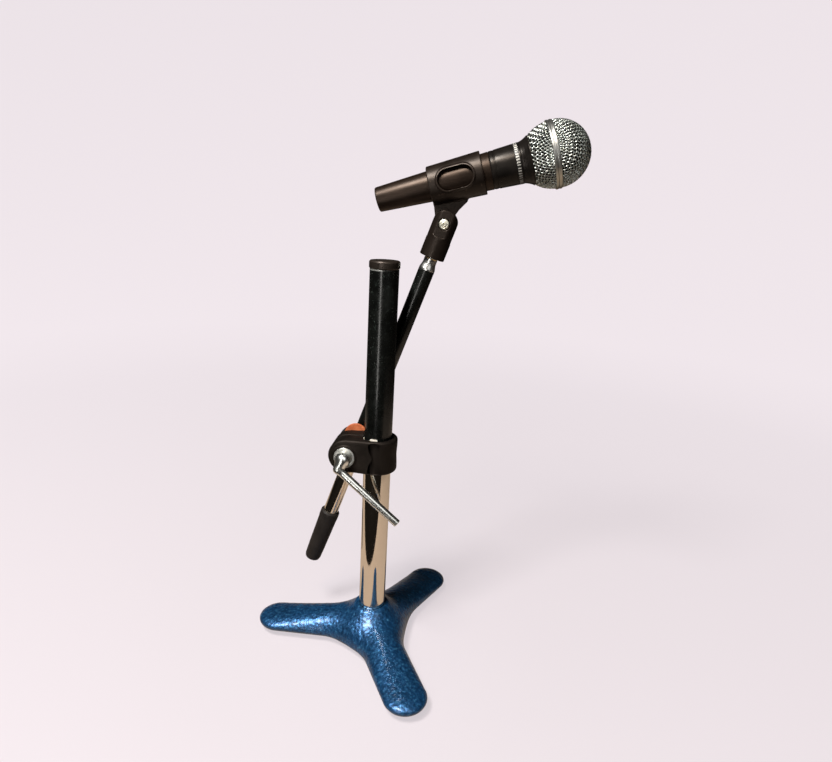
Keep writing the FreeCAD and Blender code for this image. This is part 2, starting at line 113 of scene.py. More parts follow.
def soften(pts, closed=True, n=5):
    """(r, z, radius) corners to a polyline with small arcs at the corners."""
    out = []
    m = len(pts)
    for i, p in enumerate(pts):
        rad = p[2] if len(p) > 2 else 0.0
        P = np.array(p[:2], float)
        if rad <= 0 or (not closed and i in (0, m - 1)):
            out.append(tuple(P))
            continue
        A = np.array(pts[(i - 1) % m][:2], float) - P
        B = np.array(pts[(i + 1) % m][:2], float) - P
        la, lb = np.linalg.norm(A), np.linalg.norm(B)
        A, B = A / la, B / lb
        ang = math.acos(max(-1, min(1, float(A @ B))))
        if ang > math.pi - 0.02:
            out.append(tuple(P))
            continue
        d = min(rad / math.tan(ang / 2), la * 0.48, lb * 0.48)
        r = d * math.tan(ang / 2)
        C = P + (A + B) / np.linalg.norm(A + B) * (r / math.sin(ang / 2))
        s, e = P + A * d, P + B * d
        a0 = math.atan2(*(s - C)[::-1])
        a1 = math.atan2(*(e - C)[::-1])
        da = (a1 - a0 + math.pi) % (2 * math.pi) - math.pi
        for k in range(n + 1):
            a = a0 + da * k / n
            out.append((C[0] + r * math.cos(a), C[1] + r * math.sin(a)))
    return out


def lathe_arrays(prof, seg=160, closed=True, a0=0.0, a1=2 * math.pi):
    """Verts, quads (list) of a profile turned about local Z. closed: the profile is a loop."""
    prof = [(max(r, 0.0), z) for r, z in prof]
    full = abs((a1 - a0) - 2 * math.pi) < 1e-9
    m = len(prof)
    cols = seg if full else seg + 1
    ang = a0 + (a1 - a0) * np.arange(cols) / seg
    verts, index = [], np.zeros((m, cols), int)
    for i, (r, z) in enumerate(prof):
        if r < 1e-6:
            index[i, :] = len(verts)
            verts.append((0.0, 0.0, z))
        else:
            index[i, :] = len(verts) + np.arange(cols)
            verts += [(r * c, r * s, z) for c, s in zip(np.cos(ang), np.sin(ang))]
    faces = []
    rows = m if closed else m - 1
    for i in range(rows):
        j = (i + 1) % m
        if prof[i][0] < 1e-6 and prof[j][0] < 1e-6:
            continue
        for k in range(cols if full else cols - 1):
            k2 = (k + 1) % cols
            q = [index[i, k], index[i, k2], index[j, k2], index[j, k]]
            u = []
            for x in q:
                if x not in u:
                    u.append(int(x))
            if len(u) >= 3:
                faces.append(u)
    # outward faces: signed volume decides
    V = np.array(verts)
    vol = 0.0
    for f in faces:
        for t in range(1, len(f) - 1):
            vol += float(np.dot(V[f[0]], np.cross(V[f[t]], V[f[t + 1]])))
    if vol < 0:
        faces = [f[::-1] for f in faces]
    return V, faces


def lathe(name, pts, M, mat, body, replaces=(), seg=160, sharp=35.0, n=5):
    V, F = lathe_arrays(soften(pts, True, n), seg)
    return make(name, place(V, M), F, mat, body, replaces, sharp)


# smooth CSG on distance-like fields
def smin(a, b, k):
    h = np.clip(0.5 + 0.5 * (b - a) / k, 0, 1)
    return b * (1 - h) + a * h - k * h * (1 - h)


def smax(a, b, k):
    return -smin(-a, -b, k)


def sdf_mesh(f, lo, hi, h, project=3):
    """Closed mesh of f < 0 in a box: surface nets, then pulled onto the zero level."""
    lo, hi = np.array(lo, float), np.array(hi, float)
    n = np.ceil((hi - lo) / h).astype(int) + 1
    ax = [(lo[i] + h * np.arange(n[i])).astype(np.float32) for i in range(3)]
    F = np.broadcast_to(f(ax[0][:, None, None], ax[1][None, :, None], ax[2][None, None, :]), tuple(n)).astype(np.float32)
    ins = F < 0
    c = np.zeros(tuple(n - 1), np.int8)
    for dx in (0, 1):
        for dy in (0, 1):
            for dz in (0, 1):
                c += ins[dx:n[0] - 1 + dx, dy:n[1] - 1 + dy, dz:n[2] - 1 + dz]
    active = (c > 0) & (c < 8)
    idx = np.full(tuple(n - 1), -1, np.int64)
    ijk = np.argwhere(active)
    idx[active] = np.arange(len(ijk))
    S = np.zeros((len(ijk), 3))
    cnt = np.zeros(len(ijk))
    corners = [(0, 0, 0), (1, 0, 0), (0, 1, 0), (1, 1, 0), (0, 0, 1), (1, 0, 1), (0, 1, 1), (1, 1, 1)]
    val = {k: F[ijk[:, 0] + k[0], ijk[:, 1] + k[1], ijk[:, 2] + k[2]].astype(float) for k in corners}
    for a in corners:
        for axis in range(3):
            if a[axis]:
                continue
            b = tuple(1 if i == axis else a[i] for i in range(3))
            fa, fb = val[a], val[b]
            cr = (fa < 0) != (fb < 0)
            t = np.where(cr, fa / np.where(cr, fa - fb, 1.0), 0.0)
            p = np.array(a, float)[None, :] + t[:, None] * (np.array(b, float) - np.array(a, float))[None, :]
            S[cr] += p[cr]
            cnt[cr] += 1
    V = lo + h * (ijk + S / cnt[:, None])
    quads = []
    for axis in range(3):
        o = [slice(1, -1)] * 3
        o1, o2 = list(o), list(o)
        o1[axis], o2[axis] = slice(0, -1), slice(1, None)
        A, B = ins[tuple(o1)], ins[tuple(o2)]
        cells = np.argwhere(A != B)
        av = A[tuple(cells.T)]
        e = cells.copy()
        for i in range(3):
            if i != axis:
                e[:, i] += 1
        u, w = (axis + 1) % 3, (axis + 2) % 3
        q = []
        for du, dw in ((-1, -1), (0, -1), (0, 0), (-1, 0)):
            k = e.copy()
            k[:, u] += du
            k[:, w] += dw
            q.append(idx[k[:, 0], k[:, 1], k[:, 2]])
        q = np.stack(q, 1)
        q[~av] = q[~av][:, ::-1]
        quads.append(q)
    Q = np.concatenate(quads)
    eps = 0.02 * h + 0.004
    for _ in range(project):
        x, y, z = V[:, 0], V[:, 1], V[:, 2]
        f0 = f(x, y, z)
        g = np.stack([f(x + eps, y, z) - f(x - eps, y, z), f(x, y + eps, z) - f(x, y - eps, z), f(x, y, z + eps) - f(x, y, z - eps)], 1) / (2 * eps)
        g2 = np.maximum((g * g).sum(1), 0.05)
        step = -(f0 / g2)[:, None] * g
        ln = np.linalg.norm(step, axis=1, keepdims=True)
        step *= np.minimum(1.0, 0.45 * h / np.maximum(ln, 1e-9))
        V = V + step
    return V, Q


def relax(V, Q, times, f=None):
    """Evens out the mesh, keeping it on the surface when f is given."""
    E = np.concatenate([Q[:, [0, 1]], Q[:, [1, 2]], Q[:, [2, 3]], Q[:, [3, 0]]])
    cnt = np.bincount(E.ravel(), minlength=len(V)).astype(float)[:, None]
    for _ in range(times):
        S = np.zeros_like(V)
        for a in range(3):
            S[:, a] = np.bincount(E[:, 0], V[E[:, 1], a], len(V)) + np.bincount(E[:, 1], V[E[:, 0], a], len(V))
        V = V * 0.5 + 0.5 * S / np.maximum(cnt, 1)
        if f is not None:
            eps = 0.01
            x, y, z = V[:, 0], V[:, 1], V[:, 2]
            f0 = f(x, y, z)
            g = np.stack([f(x + eps, y, z) - f(x - eps, y, z), f(x, y + eps, z) - f(x, y - eps, z), f(x, y, z + eps) - f(x, y, z - eps)], 1) / (2 * eps)
            g2 = np.maximum((g * g).sum(1), 0.05)
            V = V - (f0 / g2)[:, None] * g
    return V


def solid(name, f, lo, hi, h, M, mat, body, replaces=(), sharp=None, smooth=0):
    V, Q = sdf_mesh(f, lo, hi, h)
    if smooth:
        V = relax(V, Q, smooth, f)
    return make(name, place(V, M), Q, mat, body, replaces, sharp)


# ---------------------------------------------------------------------------
# materials
# ---------------------------------------------------------------------------
class Mat:
    """A small wrapper that wires a procedural Principled material in object space."""

    def __init__(self, name, **const):
        self.m = bpy.data.materials.new(name)
        self.m.use_nodes = True
        self.t = self.m.node_tree
        self.n = self.t.nodes
        self.b = self.n["Principled BSDF"]
        self.co = self.n.new("ShaderNodeTexCoord").outputs["Object"]
        for k, v in const.items():
            self.b.inputs[k.replace("_", " ")].default_value = v
        self.height = None

    def link(self, a, b):
        self.t.links.new(a, b)
        return b

    def noise(self, scale, detail=2.0, rough=0.5, dist=0.0, co=None):
        x = self.n.new("ShaderNodeTexNoise")
        x.inputs["Scale"].default_value = scale
        x.inputs["Detail"].default_value = detail
        x.inputs["Roughness"].default_value = rough
        x.inputs["Distortion"].default_value = dist
        self.link(co or self.co, x.inputs["Vector"])
        return x.outputs["Fac"]

    def voronoi(self, scale, feature="F1", rnd=1.0, out="Distance", co=None, smooth=None):
        x = self.n.new("ShaderNodeTexVoronoi")
        x.feature = feature
        x.inputs["Scale"].default_value = scale
        x.inputs["Randomness"].default_value = rnd
        if smooth is not None and feature == "SMOOTH_F1":
            x.inputs["Smoothness"].default_value = smooth
        self.link(co or self.co, x.inputs["Vector"])
        return x.outputs[out]

    def mapped(self, scale=(1, 1, 1), rot=(0, 0, 0), loc=(0, 0, 0)):
        x = self.n.new("ShaderNodeMapping")
        x.inputs["Scale"].default_value = scale
        x.inputs["Rotation"].default_value = rot
        x.inputs["Location"].default_value = loc
        self.link(self.co, x.inputs["Vector"])
        return x.outputs["Vector"]

    def local(self, M):
        """Coordinates of a local frame, in metres."""
        R = Matrix([list(r[:3]) for r in M[:3]]).to_3x3().transposed()
        o = Vector([c * MM for c in M[:3, 3]])
        t = -(R @ o)
        x = self.n.new("ShaderNodeMapping")
        e = R.to_euler("XYZ")
        x.inputs["Rotation"].default_value = (e.x, e.y, e.z)
        x.inputs["Location"].default_value = tuple(t)
        self.link(self.co, x.inputs["Vector"])
        return x.outputs["Vector"]

    def ramp(self, fac, stops, mode="LINEAR"):
        x = self.n.new("ShaderNodeValToRGB")
        cr = x.color_ramp
        cr.interpolation = mode
        while len(cr.elements) < len(stops):
            cr.elements.new(0.5)
        for e, (p, c) in zip(cr.elements, stops):
            e.position = p
            e.color = c if len(c) == 4 else (*c, 1)
        self.link(fac, x.inputs["Fac"])
        return x.outputs["Color"]

    def remap(self, v, a, b, c, d, clamp=True):
        x = self.n.new("ShaderNodeMapRange")
        x.clamp = clamp
        for k, s in zip(("From Min", "From Max", "To Min", "To Max"), (a, b, c, d)):
            x.inputs[k].default_value = s
        self.link(v, x.inputs["Value"])
        return x.outputs["Result"]

    def math(self, op, a, b=None, c=None):
        x = self.n.new("ShaderNodeMath")
        x.operation = op
        for i, v in enumerate((a, b, c)):
            if v is None:
                continue
            if isinstance(v, (int, float)):
                x.inputs[i].default_value = v
            else:
                self.link(v, x.inputs[i])
        return x.outputs[0]

    def mix(self, fac, a, b):
        x = self.n.new("ShaderNodeMix")
        x.data_type = "RGBA"
        for key, v in (("Factor", fac), ("A", a), ("B", b)):
            s = [i for i in x.inputs if i.name == key and (i.type == "RGBA" if key != "Factor" else i.type == "VALUE")][0]
            if isinstance(v, (int, float)):
                s.default_value = v
            elif isinstance(v, tuple):
                s.default_value = v if len(v) == 4 else (*v, 1)
            else:
                self.link(v, s)
        return [o for o in x.outputs if o.type == "RGBA"][0]

    def split(self, v):
        x = self.n.new("ShaderNodeSeparateXYZ")
        self.link(v, x.inputs[0])
        return x.outputs

    def color(self, c):
        self.link(c, self.b.inputs["Base Color"])
        return self

    def set(self, socket, v):
        self.link(v, self.b.inputs[socket])
        return self

    def bump(self, h, dist, strength=1.0):
        x = self.n.new("ShaderNodeBump")
        x.inputs["Strength"].default_value = strength
        x.inputs["Distance"].default_value = dist
        self.link(h, x.inputs["Height"])
        if self.height is not None:
            self.link(self.height, x.inputs["Normal"])
        self.height = x.outputs["Normal"]
        self.link(self.height, self.b.inputs["Normal"])
        return self


def srgb(r, g, b):
    f = lambda c: (c / 255 / 12.92) if c / 255 <= 0.04045 else ((c / 255 + 0.055) / 1.055) ** 2.4
    return (f(r), f(g), f(b))


def m_hammer():
    m = Mat("hammer_blue", Metallic=0.6, Coat_Weight=0.42, Coat_Roughness=0.25, Coat_IOR=1.5)
    cells = m.voronoi(420, "SMOOTH_F1", 1.0, smooth=0.6)
    fine = m.voronoi(950, "F1", 1.0)
    n1 = m.noise(420, 5, 0.65)
    n2 = m.noise(70, 3, 0.5)
    base = m.ramp(m.remap(n1, 0.32, 0.68, 0, 1), [(0.0, (0.006, 0.042, 0.122)), (0.5, (0.012, 0.082, 0.225)), (0.8, (0.024, 0.135, 0.32)), (1.0, (0.07, 0.26, 0.48))])
    flake = m.remap(fine, 0.05, 0.20, 1.0, 0.0)
    c = m.mix(m.math("MULTIPLY", flake, 0.45), base, (0.08, 0.30, 0.48))
    dark = m.remap(n2, 0.40, 0.68, 0.0, 0.30)
    c = m.mix(dark, c, (0.006, 0.032, 0.075))
    m.color(c)
    m.set("Roughness", m.remap(n1, 0.3, 0.7, 0.30, 0.46))
    m.bump(cells, 0.00045, 0.85)
    m.bump(m.noise(1300, 3, 0.6), 0.00010, 0.8)
    return m.m


# the warm base colour is partly painted reflection, standing in for the beige surroundings that the chrome reflects
def m_chrome(name="chrome_warm", col=(0.86, 0.78, 0.68), rough=(0.035, 0.11), M=ID):
    m = Mat(name, Metallic=1.0)
    streak = m.noise(1.0, 5, 0.65, co=m.mapped((900, 900, 14)))
    cloud = m.noise(60, 4, 0.6)
    tint = m.mix(m.remap(cloud, 0.35, 0.75, 0, 1), col, tuple(c * 0.93 for c in col))
    spots = m.remap(m.voronoi(420, "F1", 1.0), 0.02, 0.07, 1.0, 0.0)
    gate = m.remap(m.noise(45, 2, 0.5), 0.58, 0.66, 0, 1)
    pits = m.math("MULTIPLY", spots, gate)
    m.color(m.mix(pits, tint, (0.16, 0.12, 0.09)))
    r = m.remap(streak, 0.3, 0.75, rough[0], rough[1])
    m.set("Roughness", m.math("ADD", r, m.math("MULTIPLY", pits, 0.35)))
    m.bump(streak, 0.00001, 0.25)
    return m.m


def m_gloss_black():
    m = Mat("gloss_black_paint", Specular_IOR_Level=0.38, Coat_Weight=0.25, Coat_Roughness=0.12)
    n = m.noise(85, 5, 0.6)
    base = m.ramp(n, [(0.3, (0.0018, 0.0021, 0.0019)), (0.7, (0.0048, 0.0056, 0.0050))])
    z = m.split(m.co)[2]
    high = m.remap(z, 0.20, 0.318, 0.12, 1.0)
    chips = m.remap(m.voronoi(760, "F1", 1.0), 0.06, 0.13, 1.0, 0.0)
    gate = m.remap(m.noise(150, 3, 0.6), 0.51, 0.59, 0, 1)
    mask = m.math("MULTIPLY", m.math("MULTIPLY", chips, gate), high)
    smudge = m.math("MULTIPLY", m.remap(m.noise(330, 6, 0.75), 0.58, 0.80, 0, 0.5), high)
    c = m.mix(smudge, base, (0.085, 0.12, 0.105))
    c = m.mix(mask, c, (0.42, 0.50, 0.45))
    # painted highlight: a thin bright ring at the top edge of the black tube, kept to the lit left side (x < 0), stands
    # in for a glint under the cap
    rim = m.math("MULTIPLY", m.remap(z, 0.3178, 0.3182, 0.0, 1.0), m.math("MULTIPLY", m.remap(m.split(m.co)[0], -0.003, 0.002, 1.0, 0.06), m.remap(m.noise(95, 3, 0.6), 0.42, 0.56, 0.25, 1.0)))
    c = m.mix(rim, c, (0.62, 0.64, 0.61))
    m.color(c)
    m.set("Roughness", m.math("ADD", m.remap(n, 0.3, 0.7, 0.20, 0.34), m.math("MULTIPLY", smudge, 0.5)))
    m.bump(m.noise(240, 3, 0.5), 0.00004, 0.5)
    m.bump(m.noise(1400, 2, 0.5), 0.00002, 0.5)
    return m.m


def m_plastic(name, dark, light, rough=(0.42, 0.6), grain=2600, gdepth=0.00004, spec=0.5, edge=None):
    m = Mat(name, Specular_IOR_Level=spec)
    m.b.inputs["Specular Tint"].default_value = (1.0, 0.84, 0.74, 1)
    n = m.noise(70, 4, 0.6)
    c = m.mix(m.remap(n, 0.3, 0.75, 0, 1), dark, light)
    scuff = m.remap(m.noise(420, 5, 0.7), 0.60, 0.85, 0, 0.18)
    c = m.mix(scuff, c, tuple(min(1, x * 3.0 + 0.015) for x in light))
    geo = m.n.new("ShaderNodeNewGeometry")
    worn = m.remap(geo.outputs["Pointiness"], 0.53, 0.60, 0.0, 0.45)
    c = m.mix(worn, c, edge or tuple(min(1, x * 3.2 + 0.02) for x in light))
    m.color(c)
    m.set("Roughness", m.remap(n, 0.3, 0.75, rough[0], rough[1]))
    m.bump(m.noise(grain, 2, 0.6), gdepth, 0.7)
    m.bump(m.noise(190, 2, 0.5), 0.00006, 0.3)
    return m.m


def m_mic_paint():
    m = Mat("mic_dark_paint", Metallic=0.45, Specular_IOR_Level=0.42)
    m.b.inputs["Specular Tint"].default_value = (1.0, 0.82, 0.70, 1)
    n = m.noise(55, 4, 0.6)
    c = m.ramp(n, [(0.3, (0.0110, 0.0066, 0.0047)), (0.7, (0.0205, 0.0127, 0.0090))])
    fl = m.remap(m.voronoi(2600, "F1", 1.0), 0.1, 0.35, 0.25, 0.0)
    c = m.mix(fl, c, (0.085, 0.068, 0.056))
    m.color(c)
    m.set("Roughness", m.remap(n, 0.3, 0.7, 0.32, 0.42))
    m.bump(m.noise(2400, 2, 0.6), 0.000025, 0.6)
    m.bump(m.noise(160, 3, 0.5), 0.00003, 0.3)
    return m.m


def m_collar():
    m = Mat("collar_black", Specular_IOR_Level=0.20)
    m.b.inputs["Specular Tint"].default_value = (1.0, 0.90, 0.82, 1)
    n = m.noise(65, 4, 0.6)
    c = m.ramp(n, [(0.3, (0.0050, 0.0043, 0.0038)), (0.72, (0.0115, 0.0098, 0.0088))])
    wear = m.remap(m.noise(520, 5, 0.7), 0.62, 0.80, 0, 0.30)
    c = m.mix(wear, c, (0.055, 0.046, 0.040))
    m.color(c)
    m.set("Roughness", m.remap(n, 0.3, 0.7, 0.26, 0.38))
    m.bump(m.noise(1800, 2, 0.6), 0.000018, 0.5)
    return m.m


def m_band_pattern():
    """Pale printed band broken by evenly repeated plain blocks."""
    m = Mat("pale_band", Specular_IOR_Level=0.45)
    x, y, z = m.split(m.local(MIC))
    a = m.math("ARCTAN2", y, x)
    u = m.math("FRACT", m.math("MULTIPLY", a, 46 / (2 * math.pi)))
    gap = m.remap(m.math("ABSOLUTE", m.math("SUBTRACT", u, 0.5)), 0.24, 0.31, 0.0, 1.0)
    v = m.math("FRACT", m.math("MULTIPLY", m.math("ADD", m.math("MULTIPLY", a, 46 / (2 * math.pi)), 0.0), 0.2))
    wide = m.remap(m.math("ABSOLUTE", m.math("SUBTRACT", v, 0.5)), 0.41, 0.42, 0.0, 1.0)
    g = m.math("MAXIMUM", gap, wide)
    edge = m.remap(m.math("ABSOLUTE", m.math("ADD", z, 0.0287)), 0.00105, 0.00125, 0.0, 1.0)
    g = m.math("MAXIMUM", g, edge)
    n = m.noise(300, 3, 0.6)
    pale = m.ramp(n, [(0.3, (0.42, 0.41, 0.38)), (0.7, (0.66, 0.65, 0.61))])
    m.color(m.mix(g, pale, (0.012, 0.011, 0.010)))
    m.set("Roughness", m.remap(n, 0.3, 0.7, 0.35, 0.5))
    m.bump(m.math("SUBTRACT", 1.0, g), 0.00004, 0.6)
    return m.m


def m_metal(name, col, rough=(0.25, 0.45), brushed=None, dark=0.6, grain=1200, depth=0.00002):
    m = Mat(name, Metallic=1.0)
    co = m.mapped(brushed) if brushed else None
    n = m.noise(1.0 if brushed else grain, 4, 0.6, co=co)
    cl = m.noise(120, 4, 0.6)
    c = m.mix(m.remap(cl, 0.35, 0.75, 0.0, 0.7), col, tuple(x * dark for x in col))
    m.color(c)
    m.set("Roughness", m.remap(n, 0.25, 0.75, rough[0], rough[1]))
    m.bump(n, depth, 0.5)
    return m.m


def m_wire():
    m = Mat("grille_wire", Metallic=1.0)
    cl = m.noise(140, 4, 0.65)
    col = m.ramp(cl, [(0.28, (0.36, 0.385, 0.37)), (0.5, (0.54, 0.57, 0.545)), (0.75, (0.68, 0.71, 0.68))])
    x, y, z = m.split(m.local(MIC))
    dirt = m.remap(m.noise(46, 3, 0.6), 0.52, 0.72, 0.0, 0.5)
    col = m.mix(dirt, col, (0.30, 0.29, 0.20))
    m.color(col)
    m.set("Roughness", m.remap(cl, 0.3, 0.7, 0.24, 0.36))
    m.bump(m.noise(5000, 2, 0.5), 0.00001, 0.5)
    return m.m


def m_band_steel():
    m = Mat("band_steel", Metallic=1.0)
    x, y, z = m.split(m.local(MIC))
    a = m.math("ARCTAN2", y, x)
    comb = m.n.new("ShaderNodeCombineXYZ")
    m.link(m.math("MULTIPLY", a, 3.0), comb.inputs[0])
    m.link(m.math("MULTIPLY", z, 5200.0), comb.inputs[1])
    lines = m.noise(1.0, 3, 0.6, co=comb.outputs[0])
    cl = m.noise(60, 4, 0.6)
    # painted reflection: the band's lower side (local x points down) is tinted olive-gold, standing in for the floor it
    # reflects
    low = m.remap(x, 0.008, 0.024, 0.0, 0.8)
    base = m.ramp(cl, [(0.3, (0.50, 0.51, 0.49)), (0.7, (0.66, 0.66, 0.63))])
    m.color(m.mix(m.math("MULTIPLY", low, m.remap(m.noise(90, 3, 0.6), 0.3, 0.6, 0.3, 1.0)), base, (0.32, 0.27, 0.14)))
    m.set("Roughness", m.remap(lines, 0.3, 0.7, 0.28, 0.42))
    m.bump(lines, 0.00001, 0.5)
    return m.m


def m_felt():
    m = Mat("felt_black", Roughness=0.95, Sheen_Weight=0.35, Sheen_Roughness=0.5)
    n = m.noise(900, 5, 0.7, 0.6)
    m.color(m.ramp(n, [(0.3, (0.006, 0.006, 0.007)), (0.75, (0.035, 0.034, 0.036))]))
    m.bump(n, 0.0003, 0.9)
    return m.m


def m_foam():
    m = Mat("foam_charcoal", Roughness=0.95)
    v = m.voronoi(1500, "F1", 1.0)
    m.color(m.ramp(v, [(0.1, (0.0015, 0.0015, 0.0015)), (0.6, (0.011, 0.011, 0.011))]))
    m.bump(v, 0.0004, 1.0)
    return m.m


def m_rubber():
    m = Mat("rubber_black", Specular_IOR_Level=0.35)
    n = m.noise(90, 4, 0.6)
    c = m.ramp(n, [(0.3, (0.0080, 0.0058, 0.0050)), (0.75, (0.0170, 0.0126, 0.0108))])
    dust = m.remap(m.noise(420, 5, 0.7), 0.60, 0.80, 0, 0.35)
    c = m.mix(dust, c, (0.075, 0.066, 0.060))
    m.color(c)
    m.set("Roughness", m.remap(n, 0.3, 0.75, 0.55, 0.75))
    m.bump(m.noise(1600, 3, 0.6), 0.00009, 0.7)
    return m.m


def m_nylon():
    m = Mat("nylon_natural", Subsurface_Weight=0.15, Specular_IOR_Level=0.5)
    m.b.inputs["Subsurface Radius"].default_value = (0.002, 0.0015, 0.001)
    n = m.noise(160, 4, 0.6)
    m.color(m.ramp(n, [(0.3, (0.62, 0.58, 0.52)), (0.7, (0.82, 0.79, 0.73))]))
    m.set("Roughness", m.remap(n, 0.3, 0.7, 0.32, 0.5))
    m.bump(m.noise(1400, 2, 0.6), 0.00003, 0.6)
    return m.m


def m_fibre():
    m = Mat("vulcanised_fibre", Specular_IOR_Level=0.3)
    n = m.noise(240, 5, 0.7)
    fib = m.noise(1.0, 4, 0.7, co=m.mapped((1500, 300, 1500)))
    c = m.ramp(n, [(0.3, (0.42, 0.085, 0.030)), (0.7, (0.72, 0.22, 0.085))])
    m.color(m.mix(m.remap(fib, 0.5, 0.8, 0, 0.4), c, (0.85, 0.42, 0.24)))
    m.set("Roughness", m.remap(n, 0.3, 0.7, 0.5, 0.7))
    m.bump(fib, 0.00006, 0.7)
    return m.m


def m_simple(name, a, b, rough=(0.4, 0.6), metallic=0.0, scale=300, grain=1500, depth=0.00003):
    m = Mat(name, Metallic=metallic)
    n = m.noise(scale, 4, 0.6)
    m.color(m.ramp(n, [(0.3, a), (0.7, b)]))
    m.set("Roughness", m.remap(n, 0.3, 0.7, rough[0], rough[1]))
    m.bump(m.noise(grain, 2, 0.6), depth, 0.6)
    return m.m


HAMMER = m_hammer()
CHROME = m_chrome()
LEVER = m_metal("lever_nickel", (0.93, 0.95, 0.92), (0.26, 0.32), dark=0.88, grain=500, depth=0.0000015)
FERRULE = m_metal("ferrule_bright", (0.94, 0.94, 0.92), (0.26, 0.36), dark=0.85, grain=600, depth=0.000006)
BLACK = m_gloss_black()
CLAMP = m_plastic("clamp_black", (0.0045, 0.0034, 0.0029), (0.0105, 0.0080, 0.0068), (0.48, 0.62), 1900, 0.00006, 0.22, (0.085, 0.060, 0.050))
CAPM = m_plastic("cap_black", (0.009, 0.0068, 0.0055), (0.018, 0.0135, 0.011), (0.34, 0.48), 2300, 0.00005, 0.5, (0.06, 0.045, 0.036))
SADDLE = m_plastic("saddle_black", (0.008, 0.0075, 0.007), (0.018, 0.016, 0.015), (0.42, 0.6))
CLIP = m_plastic("clip_plastic", (0.0062, 0.0042, 0.0033), (0.0122, 0.0084, 0.0065), (0.34, 0.46), 2800, 0.00003, 0.32, (0.075, 0.052, 0.040))
PAINT = m_mic_paint()
COLLAR = m_collar()
PALE = m_band_pattern()
WIRE = m_wire()
BAND = m_band_steel()
FELT = m_felt()
FOAM = m_foam()
RUBBER = m_rubber()
NYLON = m_nylon()
FIBRE = m_fibre()
STEEL = m_metal("zinc_steel", (0.60, 0.60, 0.57), (0.25, 0.45))
SCREW = m_metal("screw_nickel", (0.74, 0.72, 0.62), (0.42, 0.52), dark=0.85, grain=900, depth=0.000004)
BRASS = m_metal("turned_brass", (0.78, 0.56, 0.25), (0.2, 0.35), brushed=(300, 300, 4000), dark=0.75)
SILVER = m_metal("pin_silver", (0.86, 0.85, 0.80), (0.12, 0.25), brushed=(2500, 2500, 500), dark=0.85)
ALU = m_metal("capsule_aluminium", (0.68, 0.68, 0.67), (0.28, 0.42), brushed=(2000, 2000, 300), dark=0.8)
WIRES = m_simple("wire_insulation", (0.36, 0.028, 0.018), (0.56, 0.05, 0.03), (0.3, 0.42))
INSERT = m_simple("insert_black", (0.008, 0.008, 0.008), (0.02, 0.019, 0.018), (0.4, 0.55))

SLOT_MATERIAL = {
    "hammer_paint": HAMMER, "felt": FELT, "steel": STEEL, "chrome": CHROME, "gloss_black": BLACK, "black_plastic": SADDLE,
    "nylon": NYLON, "clamp_black": CLAMP, "lever_nickel": LEVER, "fibre": FIBRE, "rubber": RUBBER, "clip_plastic": CLIP,
    "brass": BRASS, "mic_paint": PAINT, "pin_silver": SILVER, "collar_black": COLLAR, "pale_ring": PALE, "grille_wire": WIRE,
    "band_steel": BAND, "foam": FOAM, "capsule_metal": ALU, "wire_insulation": WIRES,
}
NODE_SLOT = {p["node"]: p.get("material_slot") for p in frame["record"]["subparts"]}
for node, ob in frame["nodes"].items():
    ob.data.materials.clear()
    ob.data.materials.append(SLOT_MATERIAL[NODE_SLOT[node]])

# ---------------------------------------------------------------------------
# base: one cast piece with three bulbous legs that run into a raised hub
# ---------------------------------------------------------------------------
LEGS = ((181.5, 81.8), (298.1, 84.9), (62.4, 88.5))
FELT_T, WIDEST_Z, HUB_TOP_Z = 1.5, 9.5, 34.0


def base_plan(x, y):
    """Plan distance to the outline of the three legs, negative inside."""
    d = None
    for az, tip in LEGS:
        cx, cy = math.cos(math.radians(az)), math.sin(math.radians(az))
        u = x * cx + y * cy
        v = -x * cy + y * cx
        uc = np.clip(u, 0.0, tip)
        t = np.clip((uc - 15.0) / (tip - 15.0), 0, 1)
        g = np.sqrt((u - uc) ** 2 + v * v) - (17.4 - 0.2 * t ** 0.8)
        d = g if d is None else smin(d, g, 27.6)
    return d


def base_field(x, y, z):
    d = base_plan(x, y)
    r = np.sqrt(x * x + y * y)
    top = 14.8 + 11.6 * np.clip(1.0 - (r - 20.0) / 66.0, 0, 1.1) ** 1.1
    a1, b1 = np.clip(1.0 + d / 16.0, 0, None), np.clip((z - WIDEST_Z) / (top - WIDEST_Z), 0, None)
    up = (a1 ** 2.05 + b1 ** 2.05) ** (1.0 / 2.05)
    a2, b2 = np.clip(1.0 + d / 12.5, 0, None), np.clip((WIDEST_Z - z) / (WIDEST_Z - FELT_T), 0, None)
    dn = (a2 ** 1.7 + b2 ** 1.7) ** (1.0 / 1.7)
    legs = (np.where(z >= WIDEST_Z, up, dn) - 1.0) * 9.0
    flank = 13.2 + 12.0 * np.clip((HUB_TOP_Z + 0.1 - z) / 21.0, 0.0, 1.0) ** 0.85
    hub = smax((r - flank) * 0.8, (20.5 - z) * 0.8, 3.0)
    f = smin(legs, hub, 6.0)
    f = smax(f, z - HUB_TOP_Z, 1.2)
    f = smax(f, FELT_T - z, 0.5)
    f = np.maximum(f, -np.maximum(r - 11.02, 13.0 - z))
    f = np.maximum(f, -np.maximum(r - 12.0, z - 9.0))
    f = np.maximum(f, -np.maximum(r - 5.3, z - 20.0))
    return f


def hammer_offset(V):
    """Slow swells of a brush-painted casting, under 0.12 mm."""
    x, y, z = V[:, 0], V[:, 1], V[:, 2]
    return 0.045 * (np.sin(x * 0.83 + 1.3 * np.sin(y * 0.41)) + np.sin(y * 0.91 + 1.1 * np.sin(z * 0.7 + x * 0.37)) + 0.6 * np.sin(z * 1.3 + x * 0.5 - y * 0.6))


